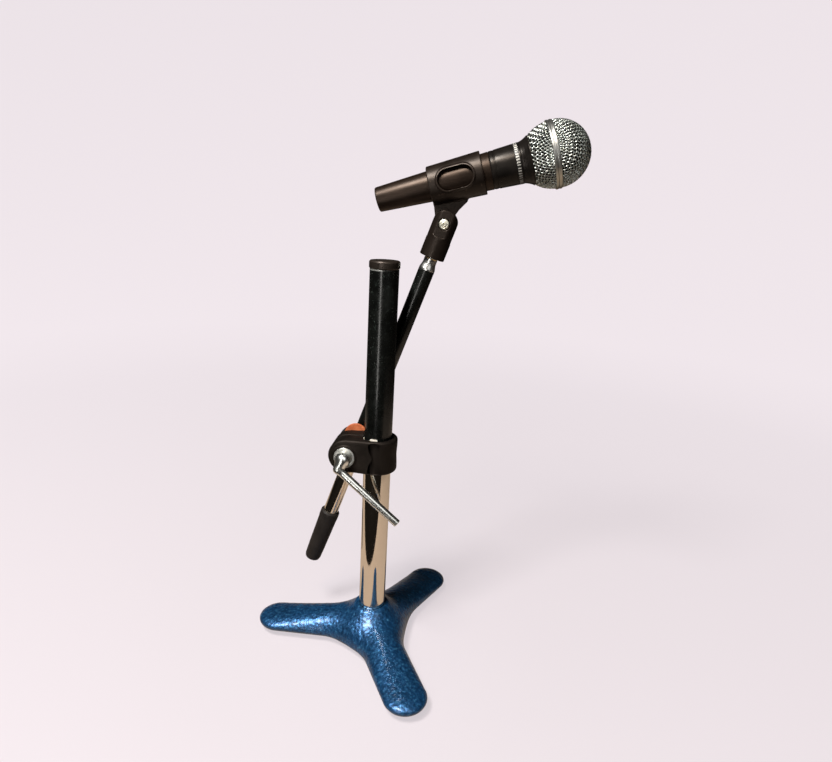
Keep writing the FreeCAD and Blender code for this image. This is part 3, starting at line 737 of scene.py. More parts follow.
bv, bq = sdf_mesh(base_field, (-101.0, -95.5, 0.3), (62.5, 98.5, 35.4), 0.85)
keep = np.hypot(bv[:, 0], bv[:, 1]) > 15.5
bv[:, 2] += np.where(keep & (bv[:, 2] > 6.0), hammer_offset(bv), 0.0)
make("base_casting_skin", place(bv, ID), bq, HAMMER, "stand", ["base_casting"], 50.0)


def felt_field(x, y, z):
    return smax(smax(base_plan(x, y) + 11.0, z - FELT_T, 0.3), -z, 0.3)


fv, fq = sdf_mesh(felt_field, (-92.0, -88.0, -0.45), (55.0, 92.0, 1.95), 0.6)
make("base_felt", place(fv, ID), fq, FELT, "stand", ["base_felt_pad"], 40.0)

# ---------------------------------------------------------------------------
# column
# ---------------------------------------------------------------------------
lathe("column_tube_lower", [(9.5, 13.0, 0.2), (11.0, 13.0, 0.3), (11.0, 171.9, 0.25), (9.5, 171.9, 0.2)], ID, CHROME, "stand", ["column_lower_tube"], 192)
lathe("column_tube_upper", [(9.5, 172.0, 0.2), (11.0, 172.0, 0.35), (11.0, 319.0, 0.35), (9.5, 319.0, 0.2)], ID, BLACK, "stand", ["column_upper_tube"], 192)
lathe("column_end_cap", [(0, 307.0), (8.9, 307.0, 0.3), (9.5, 310.0, 0.3), (9.5, 319.05, 0.0), (10.9, 319.05, 0.1), (11.25, 319.6, 0.2), (11.6, 319.9, 0.25), (11.6, 324.1, 0.9), (10.7, 325.2, 0.8), (8.4, 325.05, 0.5), (7.9, 324.6, 0.4), (0, 324.5)], ID, CAPM, "stand", ["column_cap"], 192)

# ---------------------------------------------------------------------------
# clamp and liner
# ---------------------------------------------------------------------------
def liner_field(x, y, z):
    r = np.sqrt(x * x + y * y)
    f = smax(r - 12.2, 11.05 - r, 0.25)
    ca, sa = math.cos(math.radians(-98.0)), math.sin(math.radians(-98.0))
    u, v = x * ca + y * sa, -x * sa + y * ca
    lug = np.sqrt(np.maximum(np.abs(v) - 2.0, 0) ** 2 + np.maximum(z - 187.0, 0) ** 2) - 1.2
    lug = np.maximum(lug, -u)
    top = smin(z - 184.3, np.maximum(lug, 183.0 - z), 0.3)
    f = smax(f, np.maximum(top, 158.4 - z), 0.25)
    return smax(f, -np.maximum(np.abs(y) - 1.0, x), 0.2)


solid("column_liner_sleeve", liner_field, (-13.0, -13.0, 157.8), (13.0, 13.0, 188.9), 0.3, ID, NYLON, "liner", ["column_liner"], 40.0)


def clamp_field(x, y, z):
    r = np.sqrt(x * x + y * y)
    zc = z - 173.2
    ring = r - (15.55 - 0.45 * np.exp(-(zc / 6.0) ** 2) + 0.15)
    xb, zb = x - BOLT_X, z - BOLT_Z
    g = np.clip((x + 19.0) / 19.0, 0, 1)
    half = 13.0 + (2.7 - 0.45 * np.exp(-(zc / 6.0) ** 2)) * g * g * (3 - 2 * g)
    ear_box = np.maximum(np.abs(y) - half, x)
    # side profile, seen along the bolt: round nose flaring into the ring
    t = np.clip((x - BOLT_X) / 24.2, 0, 1)
    top = 185.6 + (187.2 - 185.6) * t
    bot = 158.4 + (159.2 - 158.4) * t
    nose = np.sqrt(xb * xb + zb * zb) - 13.6
    strip = smax(smax(z - top, bot - z, 0.6), -xb, 0.6)
    side = smin(nose, strip, 1.2)
    plan = np.minimum(ear_box, ring)
    f = smax(plan, side, 2.6)
    boss = smax(np.sqrt(xb * xb + zb * zb) - 9.6, np.maximum(-14.0 - y, y - 15.0), 0.7)
    f = smin(f, boss, 0.8)
    f = smax(f, -(r - 12.25) * 1.0, 0.5)
    f = smax(f, 12.25 - r, 0.4)
    f = smax(f, -np.maximum(np.abs(y) - 0.8, x + 8.0), 0.45)
    f = smax(f, 3.06 - np.sqrt(xb * xb + zb * zb), 0.2)
    return f


solid("clamp_shell", clamp_field, (-38.8, -15.2, 157.2), (17.0, 16.2, 188.4), 0.36, ID, CLAMP, "clamp", ["clamp_body"], None, 1)

# lever: domed hub, short neck, long bar with a square-cut end
L0 = np.array((BOLT_X, -19.8, BOLT_Z))
L1 = np.array((-26.9, -22.6, 165.4))
L2 = np.array((22.2, -28.0, 127.0))


def seg_dist(x, y, z, a, b):
    d = b - a
    L = float(d @ d)
    t = np.clip(((x - a[0]) * d[0] + (y - a[1]) * d[1] + (z - a[2]) * d[2]) / L, 0, 1)
    return np.sqrt((x - a[0] - t * d[0]) ** 2 + (y - a[1] - t * d[1]) ** 2 + (z - a[2] - t * d[2]) ** 2)


def lever_field(x, y, z):
    q = np.sqrt((x - BOLT_X) ** 2 + (z - BOLT_Z) ** 2)
    hub = smax(q - 5.8, y + 15.2, 0.5)
    dome = np.sqrt(q * q + (y + 18.2) ** 2) - 6.3
    head = smax(hub, dome, 0.6)
    d = (L2 - L1) / np.linalg.norm(L2 - L1)
    bar = smin(seg_dist(x, y, z, L0, L1) - 3.4, seg_dist(x, y, z, L1, L1 + d * 11.0) - 3.0, 2.8)
    f = smin(head, bar, 3.2)
    f = smax(f, y + 15.2, 0.3)
    return np.maximum(f, -np.maximum(q - 3.05, -y - 20.4))


solid("clamp_lever_bar", lever_field, (-33.0, -32.6, 122.0), (27.4, -14.6, 180.0), 0.33, ID, LEVER, "lever", ["clamp_lever"], 50.0, 1)
LD = (L2 - L1) / np.linalg.norm(L2 - L1)
LEN = float(np.linalg.norm(L2 - L1))
SHAFT = np.eye(4)
SHAFT[:3, 2] = LD
SHAFT[:3, 0] = np.cross((0.0, 1.0, 0.0), LD) / np.linalg.norm(np.cross((0.0, 1.0, 0.0), LD))
SHAFT[:3, 1] = np.cross(LD, SHAFT[:3, 0])
SHAFT[:3, 3] = L1
lathe("clamp_lever_shaft", [(0, 5.0), (2.3, 5.0, 0.5), (3.02, 7.5, 1.2), (3.06, 12.0, 0.5), (3.06, LEN - 0.1, 0.45), (0, LEN - 0.1)], SHAFT, LEVER, "lever", ["clamp_lever"], 96)
YAX = np.eye(4)
YAX[:3, 0], YAX[:3, 1], YAX[:3, 2] = (1, 0, 0), (0, 0, -1), (0, 1, 0)
YAX[:3, 3] = (BOLT_X, 0, BOLT_Z)
lathe("lever_thrust_washer", [(3.1, -15.18, 0.1), (8.4, -15.18, 0.25), (8.4, -14.02, 0.25), (3.1, -14.02, 0.1)], YAX, STEEL, "lever", ["lever_washer"], 96)

# boom holder
PAD_L, PAD_W, SADDLE_R = 18.5, 9.5, 13.0


def pad_field(x, y, z):
    c, d = math.cos(math.radians(TILT)), math.sin(math.radians(TILT))
    xb, zb = x - BOLT_X, z - BOLT_Z
    u, v = xb * d + zb * c, xb * c - zb * d
    q = np.sqrt(np.maximum(np.abs(u) - (PAD_L - PAD_W), 0) ** 2 + v * v) - PAD_W
    f = smax(q, np.abs(y - 16.0) - 1.0, 0.35)
    return smax(f, 3.1 - np.sqrt(xb * xb + zb * zb), 0.2)


solid("fibre_friction_pad", pad_field, (-37.0, 14.4, 152.4), (-11.4, 17.6, 191.6), 0.34, ID, FIBRE, "boom_holder", ["friction_washer"], 50.0, 1)

BI = np.linalg.inv(BOOM)


def to_boom(x, y, z):
    return (BI[0, 0] * x + BI[0, 2] * z + BI[0, 3], y - 27.0, BI[2, 0] * x + BI[2, 2] * z + BI[2, 3])


def saddle_field(x, y, z):
    q = np.sqrt((x - BOLT_X) ** 2 + (z - BOLT_Z) ** 2)
    f = smax(q - SADDLE_R, np.maximum(17.0 - y, y - 25.5), 0.9)
    bx, by, bz = to_boom(x, y, z)
    br = np.sqrt(bx * bx + by * by)
    f = smax(f, 6.42 - br, 0.35)
    f = smax(f, -np.maximum(br - 9.25, np.abs(bz) - 6.1), 0.3)
    return smax(f, 3.1 - q, 0.2)


solid("boom_saddle_block", saddle_field, (-38.0, 16.4, 158.2), (-10.4, 26.4, 185.8), 0.36, ID, SADDLE, "boom_holder", ["boom_saddle"], 50.0, 1)


def eye_field(x, y, z):
    bx, by, bz = to_boom(x, y, z)
    br = np.sqrt(bx * bx + by * by)
    eye = smax(br - 9.2, np.abs(bz) - 6.0, 0.8)
    q = np.sqrt((x - BOLT_X) ** 2 + (z - BOLT_Z) ** 2)
    shank = smax(q - 3.0, np.maximum(-20.8 - y, y - 19.4), 0.3)
    f = smin(eye, shank, 1.0)
    return smax(f, 6.40 - br, 0.35)


solid("eye_bolt_forging", eye_field, (-35.4, -21.6, 159.4), (-8.0, 37.4, 182.4), 0.36, ID, STEEL, "boom_holder", ["eye_bolt"], 50.0, 1)

# ---------------------------------------------------------------------------
# boom
# ---------------------------------------------------------------------------
lathe("boom_tube_lower", [(5.35, -116.0, 0.1), (6.35, -116.0, 0.2), (6.35, 11.95, 0.2), (5.35, 11.95, 0.1)], BOOM, CHROME, "boom", ["boom_lower_tube"], 144)
lathe("boom_tube_upper", [(5.35, 12.0, 0.1), (6.35, 12.0, 0.25), (6.35, 155.0, 0.2), (5.35, 155.0, 0.1)], BOOM, BLACK, "boom", ["boom_upper_tube"], 144)
lathe("boom_end_ferrule", [(0, 139.0), (5.35, 139.0, 0.2), (5.35, 155.0, 0.0), (6.3, 155.0, 0.1), (6.28, 156.1, 0.5), (5.5, 159.0, 0.8), (5.2, 160.4, 0.5), (5.2, 163.9, 0.3), (4.75, 164.4, 0.1), (4.75, 179.4, 0.4), (4.2, 180.0, 0.2), (0, 180.0)], BOOM, FERRULE, "boom", ["boom_ferrule"], 144)
lathe("boom_hand_grip", [(0, -124.0), (4.2, -124.0, 1.4), (6.4, -122.9, 1.6), (7.0, -120.4, 2.0), (7.3, -114.0, 4.0), (8.0, -82.0, 4.0), (8.05, -79.6, 0.3), (8.25, -79.2, 0.3), (8.25, -73.2, 1.0), (7.4, -72.0, 0.5), (6.36, -72.0, 0.2), (6.36, -116.0, 0.1), (0, -116.0)], BOOM, RUBBER, "boom", ["boom_grip"], 144)

# ---------------------------------------------------------------------------
# microphone clip
# ---------------------------------------------------------------------------
def clip_base_field(x, y, z):
    r = np.sqrt(x * x + y * y)
    zp = z - T_PIVOT
    q = np.sqrt(x * x + zp * zp)
    arch = np.where(zp > 0, q, np.abs(x)) - 10.0
    f = smax(smax(r, arch + 10.0, 0.9) - 10.0, 165.2 - z, 0.7)
    f = smax(f, -smax(q - 10.4, 8.6 - np.abs(y), 0.35), 0.5)
    gap = np.maximum(np.abs(y) - 3.1, (T_PIVOT - 12.4) - z)
    f = smax(f, -gap, 0.5)
    f = smax(f, -np.maximum(r - 7.0, z - 176.2), 0.2)
    f = smax(f, -np.maximum(r - 5.0, z - 180.6), 0.2)
    f = smax(f, 2.5 - q, 0.15)
    f = smax(f, -np.maximum(q - 4.6, y + 7.0), 0.3)
    a = np.abs(x)
    hexd = np.maximum(a * 0.5 + np.abs(zp) * 0.8660254, a) - 4.02
    return smax(f, -np.maximum(hexd, 5.6 - y), 0.2)


solid("clip_foot_block", clip_base_field, (-10.8, -10.8, 164.5), (10.8, 10.8, 202.6), 0.27, BOOM, CLIP, "clip_foot", ["clip_base"], 50.0, 1)


def screw_field(x, y, z):
    zp = z - T_PIVOT
    q = np.sqrt(x * x + zp * zp)
    shaft = np.maximum(q - 2.5, np.maximum(-7.2 - y, y - 8.2))
    head = smax(np.sqrt(q * q + (y + 1.4) ** 2) - 8.3, np.maximum(q - 3.9, y + 6.9), 0.5)
    f = smin(shaft, head, 0.2)
    groove = np.sqrt((q - 2.35) ** 2 + (y + 9.5) ** 2) - 0.42
    f = smax(f, -groove, 0.15)
    a = np.abs(x)
    hexd = np.maximum(a * 0.8660254 + np.abs(zp) * 0.5, np.abs(zp)) - 1.05
    return smax(f, -np.maximum(hexd, y + 7.9), 0.15)


solid("pivot_screw_head", screw_field, (-4.4, -10.2, T_PIVOT - 4.4), (4.4, 8.8, T_PIVOT + 4.4), 0.2, BOOM, SCREW, "clip_foot", ["pivot_screw"], 45.0, 1)

PX, PS = 29.26, -90.0
W_S, W_HL, W_HH, W_X = -74.5, 14.6, 9.2, -0.8
TONGUE = [(PX, PS - 6.6), (12.0, -94.5), (12.0, -66.5), (17.2, -69.8), (19.4, -73.5), (21.6, -77.2), (24.4, -80.6), (PX, PS + 8.6)]


def polygon_dist(px, py, pts):
    """Signed distance to a simple polygon, negative inside."""
    d = np.full(np.broadcast(px, py).shape, 1e9)
    s = np.ones(d.shape)
    n = len(pts)
    for i in range(n):
        ax, ay = pts[i]
        bx, by = pts[i - 1]
        ex, ey = bx - ax, by - ay
        wx, wy = px - ax, py - ay
        t = np.clip((wx * ex + wy * ey) / (ex * ex + ey * ey), 0, 1)
        dx, dy = wx - ex * t, wy - ey * t
        d = np.minimum(d, dx * dx + dy * dy)
        c1, c2, c3 = py >= ay, py < by, ex * wy > ey * wx
        flip = (c1 & c2 & c3) | (~c1 & ~c2 & ~c3)
        s = np.where(flip, -s, s)
    return s * np.sqrt(d)


def stadium(x, s, hl, hh):
    e = np.maximum(np.abs(s - W_S) - (hl - hh), 0)
    return np.sqrt(e * e + (x - W_X) ** 2) - hh


def clip_field(x, y, z):
    r = np.sqrt(x * x + y * y)
    ro = 14.2 + 1.6 * (z + 94.7) / 40.6
    outer = smax(r - ro, np.maximum(-94.7 - z, z + 54.1), 0.8)
    st = stadium(x, z, W_HL, W_HH)
    rim = smax(smax(r - ro - 0.8, st, 0.7), np.maximum(-92.7 - z, z + 56.1), 0.4)
    f = smin(outer, rim, 0.5)
    tg = smin(polygon_dist(x, z, TONGUE), np.sqrt((x - PX) ** 2 + (z - PS) ** 2) - 8.6, 1.5)
    tongue = smax(tg, np.abs(y) - 3.0, 0.5)
    tongue = smax(tongue, 12.5 - r, 0.4)
    f = smin(f, tongue, 1.1)
    bore = 9.2 + 0.0507 * (z + 135.5) + 0.12 - r
    f = smax(f, bore, 0.45)
    f = smax(f, -stadium(x, z, W_HL - 1.5, W_HH - 1.5), 0.6)
    return smax(f, 2.6 - np.sqrt((x - PX) ** 2 + (z - PS) ** 2), 0.2)


def clip_field_solid(x, y, z):
    # the window passes the barrel only, never the tongue
    x, y, z = np.broadcast_arrays(x, y, z)
    return clip_field(x, y, z)


solid("clip_sleeve", clip_field_solid, (-17.4, -17.4, -100.2), (39.0, 17.4, -53.2), 0.42, MIC, CLIP, "clip", ["clip_barrel"], 50.0, 1)

# ---------------------------------------------------------------------------
# microphone
# ---------------------------------------------------------------------------
S_SEAM, S_FER = -48.5, -26.3
lathe("mic_body_tube", [(8.05, -135.5, 0.3), (8.75, -135.5, 0.3), (9.15, -134.9, 0.4), (9.24, -133.6, 0.2), (handle_r(S_SEAM), S_SEAM, 0.3), (handle_r(S_SEAM) - 1.9, S_SEAM, 0.1), (handle_r(-112) - 1.9, -112.0, 0.2), (8.05, -113.5, 0.2)], MIC, PAINT, "microphone", ["mic_handle"], 192)
hr = handle_r
lathe("mic_head_collar", [(11.4, -56.5, 0.1), (hr(-48.5) - 2.35, -56.5, 0.3), (hr(-48.5) - 1.96, -48.5, 0.0), (hr(-48.5) - 0.45, -48.45, 0.1), (hr(-47.7), -47.6, 0.3), (hr(-46.9), -45.4, 0.1), (hr(-45) - 0.28, -45.1, 0.08), (hr(-45) - 0.28, -44.5, 0.08), (hr(-44.2), -44.2, 0.1), (hr(-30.3), -30.3, 0.1), (hr(-30.2) - 0.42, -30.2, 0.0), (hr(-30.2) - 0.42, -27.2, 0.0), (hr(-27.2), -27.1, 0.1), (hr(S_FER), S_FER, 0.2), (13.0, S_FER, 0.0), (13.0, -19.6, 0.2), (11.4, -19.6, 0.2)], MIC, COLLAR, "microphone", ["head_collar"], 192)
lathe("mic_marking_band", [(hr(-30.2) - 0.4, -30.15, 0.0), (hr(-30.2) + 0.05, -30.15, 0.08), (hr(-27.2) + 0.05, -27.25, 0.08), (hr(-27.2) - 0.4, -27.25, 0.0)], MIC, PALE, "microphone", ["marking_ring"], 192)
lathe("grille_neck_ferrule", [(13.06, -26.2, 0.1), (14.55, -26.2, 0.35), (14.85, -24.9, 0.8), (15.5, -23.1, 2.0), (16.6, -20.9, 2.0), (17.5, -19.7, 0.5), (17.5, -18.9, 0.3), (16.6, -18.7, 0.2), (14.6, -19.2, 0.2), (13.06, -19.5, 0.1)], MIC, COLLAR, "grille", ["grille_ferrule"], 192)
lathe("grille_centre_band", [(22.6, -5.3, 0.1), (23.7, -5.3, 0.3), (24.25, -4.75, 0.45), (24.25, -3.7, 0.5), (24.0, -3.3, 0.5), (24.0, -2.5, 0.5), (24.25, -2.1, 0.5), (24.25, -1.05, 0.45), (23.7, -0.5, 0.3), (22.6, -0.5, 0.1)], MIC, BAND, "grille", ["grille_band"], 256)


def chebyshev(R, h, n):
    """Fishnet of n x n nodes on a sphere of radius R about +Z, equal steps h along both threads, one quadrant."""
    P = np.zeros((n + 1, n + 1, 3))
    a = 2 * math.asin(h / 2 / R)
    for i in range(n + 1):
        P[i, 0] = (R * math.sin(a * i), 0, R * math.cos(a * i))
        P[0, i] = (0, R * math.sin(a * i), R * math.cos(a * i))
    c = R * R - h * h / 2
    ok = np.ones((n + 1, n + 1), bool)
    for i in range(1, n + 1):
        for j in range(1, n + 1):
            A, B, O = P[i - 1, j], P[i, j - 1], P[i - 1, j - 1]
            al = c / (R * R + A @ B)
            X = np.cross(A, B)
            x2 = float(X @ X)
            g2 = (R * R - al * al * float((A + B) @ (A + B))) / max(x2, 1e-12)
            if g2 < 0 or not (ok[i - 1, j] and ok[i, j - 1]) or (A @ B) / (R * R) > 0.99995:
                ok[i, j] = False
                P[i, j] = A + B - O
                continue
            g = math.sqrt(g2)
            p1, p2 = al * (A + B) + g * X, al * (A + B) - g * X
            P[i, j] = p1 if np.linalg.norm(p1 - O) > np.linalg.norm(p2 - O) else p2
    return P, ok


def woven_dome(R, pitch, wire, amp, keep_fn, shape_fn, sub=4, sides=6):
    """Plain weave on a dome: returns verts and quads of every wire. keep_fn(unit points) marks what is inside the rim."""
    n = int(R * math.pi / 2 / pitch * 1.22)
    P, ok = chebyshev(R, pitch, n)
    verts, quads = [], []
    base = 0
    ring = np.arange(sides) * 2 * math.pi / sides
    for family in (0, 1):
        for i in range(-n, n + 1):
            pts, sgn = [], []
            good = []
            for j in range(-n, n + 1):
                a, b = (i, j) if family == 0 else (j, i)
                p = P[abs(a), abs(b)].copy()
                if a < 0:
                    p[0] = -p[0]
                if b < 0:
                    p[1] = -p[1]
                pts.append(p)
                good.append(ok[abs(a), abs(b)])
                sgn.append((1 if (i + j) % 2 == 0 else -1) * (1 if family == 0 else -1))
            pts, sgn, good = np.array(pts), np.array(sgn, float), np.array(good)
            # smooth path with sub steps
            m = len(pts)
            t = np.arange(0, (m - 1) * sub + 1) / sub
            k = np.clip(t.astype(int), 0, m - 2)
            f = (t - k)[:, None]
            p0, p1, p2, p3 = pts[np.clip(k - 1, 0, m - 1)], pts[k], pts[k + 1], pts[np.clip(k + 2, 0, m - 1)]
            Q = 0.5 * (2 * p1 + (p2 - p0) * f + (2 * p0 - 5 * p1 + 4 * p2 - p3) * f ** 2 + (3 * p1 - p0 - 3 * p2 + p3) * f ** 3)
            w = sgn[k] * np.cos(math.pi * f[:, 0])
            gg = good[k] & good[np.clip(k + 1, 0, m - 1)]
            U = Q / np.linalg.norm(Q, axis=1, keepdims=True)
            inside = keep_fn(U) & gg
            # every run inside that is five or more points long
            runs, s = [], None
            for q in range(len(inside)):
                if inside[q] and s is None:
                    s = q
                if (not inside[q] or q == len(inside) - 1) and s is not None:
                    runs.append((s, q if not inside[q] else q + 1))
                    s = None
            for s, e in runs:
                if e - s < 5:
                    continue
                Uu, ww = U[s:e], w[s:e]
                C, N = shape_fn(Uu)
                C = C + N * (ww * amp)[:, None]
                T = np.gradient(C, axis=0)
                T /= np.linalg.norm(T, axis=1, keepdims=True)
                Bn = np.cross(T, N)
                Bn /= np.linalg.norm(Bn, axis=1, keepdims=True)
                Nn = np.cross(Bn, T)
                ringp = C[:, None, :] + wire * (np.cos(ring)[None, :, None] * Nn[:, None, :] + np.sin(ring)[None, :, None] * Bn[:, None, :])
                L = e - s
                verts.append(ringp.reshape(-1, 3))
                a = base + (np.arange(L - 1)[:, None] * sides + np.arange(sides)[None, :])
                b = base + (np.arange(L - 1)[:, None] * sides + (np.arange(sides)[None, :] + 1) % sides)
                quads.append(np.stack([a, b, b + sides, a + sides], 2).reshape(-1, 4))
                # end caps, as quads
                for off, flip in ((0, True), ((L - 1) * sides, False)):
                    v = [base + off + q for q in range(sides)]
                    cap = [[v[0], v[1], v[2], v[3]], [v[0], v[3], v[4], v[5]]]
                    quads.append(np.array([c[::-1] if flip else c for c in cap]))
                base += L * sides
    V = np.concatenate(verts)
    Q = np.concatenate(quads)
    return V, Q


PITCH, WIRE_R, AMP = 2.2, 0.40, 0.40
R_UP = 23.8 - AMP - WIRE_R


def upper_shape(U):
    return U * R_UP, U


uv, uq = woven_dome(R_UP, PITCH, WIRE_R, AMP, lambda U: U[:, 2] > -0.06, upper_shape)
# turn the weave about the axis so that its threads lie as seen from the side
def spin(V, deg):
    a = math.radians(deg)
    c, s = math.cos(a), math.sin(a)
    return np.stack([V[:, 0] * c - V[:, 1] * s, V[:, 0] * s + V[:, 1] * c, V[:, 2]], 1)


make("grille_weave_upper", place(spin(uv, 33.0), MIC), uq, WIRE, "grille", ["grille_upper"], None)

LOWER = [(16.9, -19.6), (17.4, -19.2), (19.3, -16.6), (20.9, -13.9), (22.1, -11.0), (22.95, -8.2), (23.5, -5.2), (23.75, -3.2)]
lo_ang = np.array([math.atan2(r, -s) for r, s in LOWER])
lo_rad = np.array([math.hypot(r, s) for r, s in LOWER]) - AMP - WIRE_R


def lower_shape(U):
    th = np.arctan2(np.hypot(U[:, 0], U[:, 1]), U[:, 2])
    rad = np.interp(th, lo_ang, lo_rad)
    e = 1e-3
    dr = (np.interp(th + e, lo_ang, lo_rad) - np.interp(th - e, lo_ang, lo_rad)) / (2 * e)
    phi = np.arctan2(U[:, 1], U[:, 0])
    er = U
    et = np.stack([np.cos(th) * np.cos(phi), np.cos(th) * np.sin(phi), -np.sin(th)], 1)
    N = er * rad[:, None] - et * dr[:, None]
    N /= np.linalg.norm(N, axis=1, keepdims=True)
    return U * rad[:, None], N


lv, lq = woven_dome(24.4, PITCH, WIRE_R, AMP, lambda U: (U[:, 2] < math.cos(lo_ang[0])) & (U[:, 2] > math.cos(lo_ang[-1])), lower_shape)
lv = spin(lv, 38.0)
lv[:, 2] *= -1
lv[:, 1] *= -1
make("grille_weave_lower", place(lv, MIC), lq, WIRE, "grille", ["grille_lower"], None)

# foam inside the grille, open-celled and slightly uneven
fo = [(13.9, -17.9), (15.9, -18.2), (18.0, -16.4), (19.5, -13.9), (20.7, -11.0), (21.5, -8.2), (21.95, -5.2), (22.15, -1.0)]
fo += [(22.1 * math.cos(a), 22.1 * math.sin(a)) for a in np.linspace(0.02, math.pi / 2 - 0.03, 26)] + [(0, 22.1)]
fi = [(0, 20.1)] + [(20.1 * math.cos(a), 20.1 * math.sin(a)) for a in np.linspace(math.pi / 2 - 0.05, 0.02, 20)] + [(19.8, -5.2), (19.3, -8.2), (18.4, -11.0), (17.2, -13.9), (15.8, -16.4)]
FV, FF = lathe_arrays(fo + fi, 200)
nn = np.sin(FV[:, 0] * 2.1 + 1.7 * np.sin(FV[:, 2] * 1.9)) * np.sin(FV[:, 1] * 2.3 + 1.3 * np.sin(FV[:, 0] * 1.7)) * np.sin(FV[:, 2] * 2.0)
FV = FV * (1 + 0.004 * nn[:, None] - 0.002)
foam = make("foam_windscreen", place(FV, MIC), FF, FOAM, "foam", ["foam_liner"], None)

# connector: the imported insert (face, rim and key) stays; three pins with domed ends are turned here
ins = frame["nodes"]["connector_insert"]
pin_v, pin_f = [], []
base_i = 0
for a in (90.0, 210.0, 330.0):
    px, py = 5.0 * math.cos(math.radians(a)), 5.0 * math.sin(math.radians(a))
    V, F = lathe_arrays(soften([(0, -133.0), (1.2, -133.0, 0.9), (1.2, -111.0, 0.2), (0, -111.0)], True, 6), 32)
    V = V + np.array((px, py, 0))
    pin_v.append(V)
    pin_f += [[i + base_i for i in f] for f in F]
    base_i += len(V)
make("contact_pin_set", place(np.concatenate(pin_v), MIC), pin_f, SILVER, "microphone", ["contact_pins"], 40.0)

# ---------------------------------------------------------------------------
# stage: pale sweep, soft lights, camera
# ---------------------------------------------------------------------------
RIGHT = Vector((0.991762, 0.116679, 0.052862))
UP = Vector((-0.082587, 0.266994, 0.960154))
FWD = Vector((-0.097916, 0.956611, -0.27443))
CAM_AT = Vector((0.073587, -0.447447, 0.363548))

cam_data = bpy.data.cameras.new("camera")
cam = bpy.data.objects.new("camera", cam_data)
scene.collection.objects.link(cam)
rot = Matrix((RIGHT, UP, -FWD)).transposed()
cam.matrix_world = Matrix.Translation(CAM_AT) @ rot.to_4x4()
cam_data.sensor_fit = "HORIZONTAL"
cam_data.sensor_width = 36.0
cam_data.lens = 606.871 / 832 * 36.0
cam_data.clip_start, cam_data.clip_end = 0.01, 50.0
scene.camera = cam

# sweep: a round floor that curves up into a wall on every side
def sweep_mesh():
    prof = [(0.9, 0.0)]
    R = 0.9
    for k in range(1, 25):
        a = math.pi / 2 * k / 24
        prof.append((0.9 + R * math.sin(a), R - R * math.cos(a)))
    prof += [(1.8, 2.2), (1.5, 3.2), (0.8, 3.9)]
    n = 96
    verts, faces = [(0.0, 0.0, 0.0)], []
    for r, z in prof:
        verts += [(r * math.cos(2 * math.pi * i / n), r * math.sin(2 * math.pi * i / n), z) for i in range(n)]
    for i in range(n):
        faces.append((0, 1 + i, 1 + (i + 1) % n))
    for k in range(len(prof) - 1):
        for i in range(n):
            j = (i + 1) % n
            faces.append((1 + k * n + i, 1 + (k + 1) * n + i, 1 + (k + 1) * n + j, 1 + k * n + j))
    return verts, faces


fverts, ffaces = sweep_mesh()
me = bpy.data.meshes.new("studio_sweep")
me.from_pydata(fverts, [], ffaces)
for p in me.polygons:
    p.use_smooth = True
floor = bpy.data.objects.new("studio_sweep", me)
scene.collection.objects.link(floor)
fm = bpy.data.materials.new("sweep_pale")
fm.use_nodes = True
nt = fm.node_tree
nt.nodes.clear()
out = nt.nodes.new("ShaderNodeOutputMaterial")
lp = nt.nodes.new("ShaderNodeLightPath")
PALE_RGB = (0.863, 0.791, 0.831)


def bsdf(kind, color, strength=None):
    b = nt.nodes.new(kind)
    b.inputs["Color"].default_value = (*color, 1)
    if strength is not None:
        b.inputs["Strength"].default_value = strength
    return b.outputs[0]


def mixsh(fac, a, b):
    x = nt.nodes.new("ShaderNodeMixShader")
    if isinstance(fac, float):
        x.inputs[0].default_value = fac
    else:
        nt.links.new(fac, x.inputs[0])
    nt.links.new(a, x.inputs[1])
    nt.links.new(b, x.inputs[2])
    return x.outputs[0]


pos = nt.nodes.new("ShaderNodeNewGeometry")
sep = nt.nodes.new("ShaderNodeSeparateXYZ")
nt.links.new(pos.outputs["Position"], sep.inputs[0])


def ranged(src, lo, hi):
    r = nt.nodes.new("ShaderNodeMapRange")
    r.inputs["From Min"].default_value, r.inputs["From Max"].default_value = lo, hi
    nt.links.new(src, r.inputs["Value"])
    return r.outputs["Result"]


GLOW = (0.868, 0.797, 0.838)
plan = nt.nodes.new("ShaderNodeCombineXYZ")
nt.links.new(sep.outputs[0], plan.inputs[0])
nt.links.new(sep.outputs[1], plan.inputs[1])
radial = nt.nodes.new("ShaderNodeVectorMath")
radial.operation = "LENGTH"
nt.links.new(plan.outputs[0], radial.inputs[0])
glow = mixsh(ranged(radial.outputs["Value"], 0.15, 1.2), bsdf("ShaderNodeEmission", GLOW, 0.93), bsdf("ShaderNodeEmission", GLOW, 1.20))
seen = mixsh(0.76, bsdf("ShaderNodeBsdfDiffuse", PALE_RGB), glow)
length = nt.nodes.new("ShaderNodeVectorMath")
length.operation = "LENGTH"
nt.links.new(pos.outputs["Position"], length.inputs[0])
low = mixsh(0.35, bsdf("ShaderNodeBsdfDiffuse", (0.46, 0.37, 0.30)), bsdf("ShaderNodeEmission", (0.66, 0.53, 0.42), 0.95))
dim = bsdf("ShaderNodeBsdfDiffuse", (0.045, 0.040, 0.038))
other = mixsh(ranged(length.outputs["Value"], 0.42, 0.62), low, dim)
other = mixsh(lp.outputs["Is Diffuse Ray"], other, dim)
nt.links.new(mixsh(lp.outputs["Is Camera Ray"], other, seen), out.inputs["Surface"])
me.materials.append(fm)


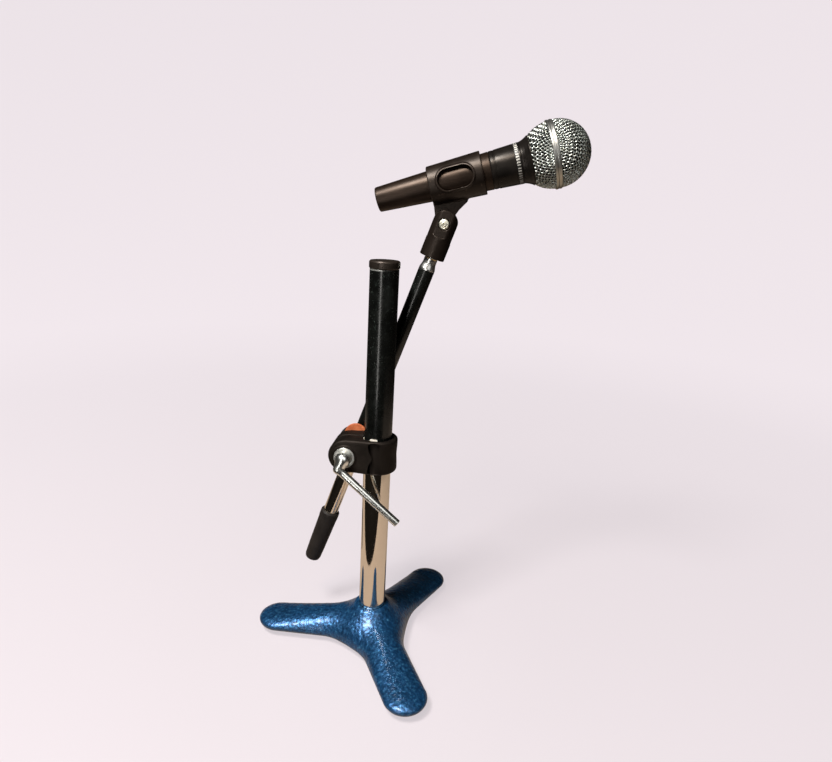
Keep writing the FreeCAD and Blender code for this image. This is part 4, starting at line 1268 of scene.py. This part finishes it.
def area(name, at, target, size, power, color=(1, 1, 1), shape="RECTANGLE", size_y=None):
    d = bpy.data.lights.new(name, "AREA")
    d.shape = shape
    d.size = size
    if shape in ("RECTANGLE", "ELLIPSE"):
        d.size_y = size_y or size
    d.energy = power
    d.color = color
    o = bpy.data.objects.new(name, d)
    scene.collection.objects.link(o)
    o.location = at
    o.rotation_mode = "QUATERNION"
    o.rotation_quaternion = (Vector(target) - Vector(at)).to_track_quat("-Z", "Y")
    return o


area("key", (-0.38, -0.52, 1.22), (0.02, 0.0, 0.15), 0.27, 20.0, (1.0, 0.985, 0.95), "RECTANGLE", 0.30)
area("warm_top", (-0.15, -0.62, 1.12), (0.06, 0.0, 0.35), 0.22, 4.5, (1.0, 0.86, 0.72), "RECTANGLE", 0.22)
area("strip", (-0.125, -0.50, 0.275), (0.0, 0.0, 0.275), 0.07, 0.68, (1.0, 0.97, 0.93), "RECTANGLE", 0.50)

w = bpy.data.worlds.new("studio_world")
scene.world = w
w.use_nodes = True
bg = w.node_tree.nodes["Background"]
bg.inputs["Color"].default_value = (0.90, 0.88, 0.89, 1)
bg.inputs["Strength"].default_value = 0.10

# a black flag beside the camera, seen only in reflections
def card(name, pts, color, glow=0.0):
    m2 = bpy.data.meshes.new(name)
    m2.from_pydata(pts, [], [tuple(range(len(pts)))])
    o = bpy.data.objects.new(name, m2)
    scene.collection.objects.link(o)
    mt = bpy.data.materials.new(name)
    mt.use_nodes = True
    pb = mt.node_tree.nodes["Principled BSDF"]
    pb.inputs["Base Color"].default_value = (*color, 1)
    pb.inputs["Roughness"].default_value = 1.0
    pb.inputs["Specular IOR Level"].default_value = 0.0
    if glow:
        pb.inputs["Emission Color"].default_value = (1.0, 0.99, 0.96, 1)
        pb.inputs["Emission Strength"].default_value = glow
    m2.materials.append(mt)
    o.visible_camera = False
    o.visible_diffuse = False
    o.visible_shadow = False
    o.visible_transmission = False
    return o


# direction from the column that the flag's near edge faces
fa = math.radians(-90.0 + 9.0 - 37.0)
ux, uy = math.cos(fa), math.sin(fa)
px_, py_ = -uy, ux
near, far, half = 0.118, 1.2, 1.4
card("black_flag", [(ux * near + px_ * half, uy * near + py_ * half, 0.0015), (ux * near - px_ * half, uy * near - py_ * half, 0.0015), (ux * far - px_ * half, uy * far - py_ * half, 0.0015), (ux * far + px_ * half, uy * far + py_ * half, 0.0015)], (0.008, 0.007, 0.006))

# a small bright card high on the right, for the polished parts
cc = Vector((0.50, -0.63, 0.77))
cn = (Vector((0.0, -0.02, 0.15)) - cc).normalized()
cu = cn.cross(Vector((0, 0, 1))).normalized()
cv = cu.cross(cn)
card("bright_card", [tuple(cc + cu * (0.26 * i) + cv * (0.30 * j)) for i, j in ((-1, -1), (1, -1), (1, 1), (-1, 1))], (0.8, 0.8, 0.8), 1.35)
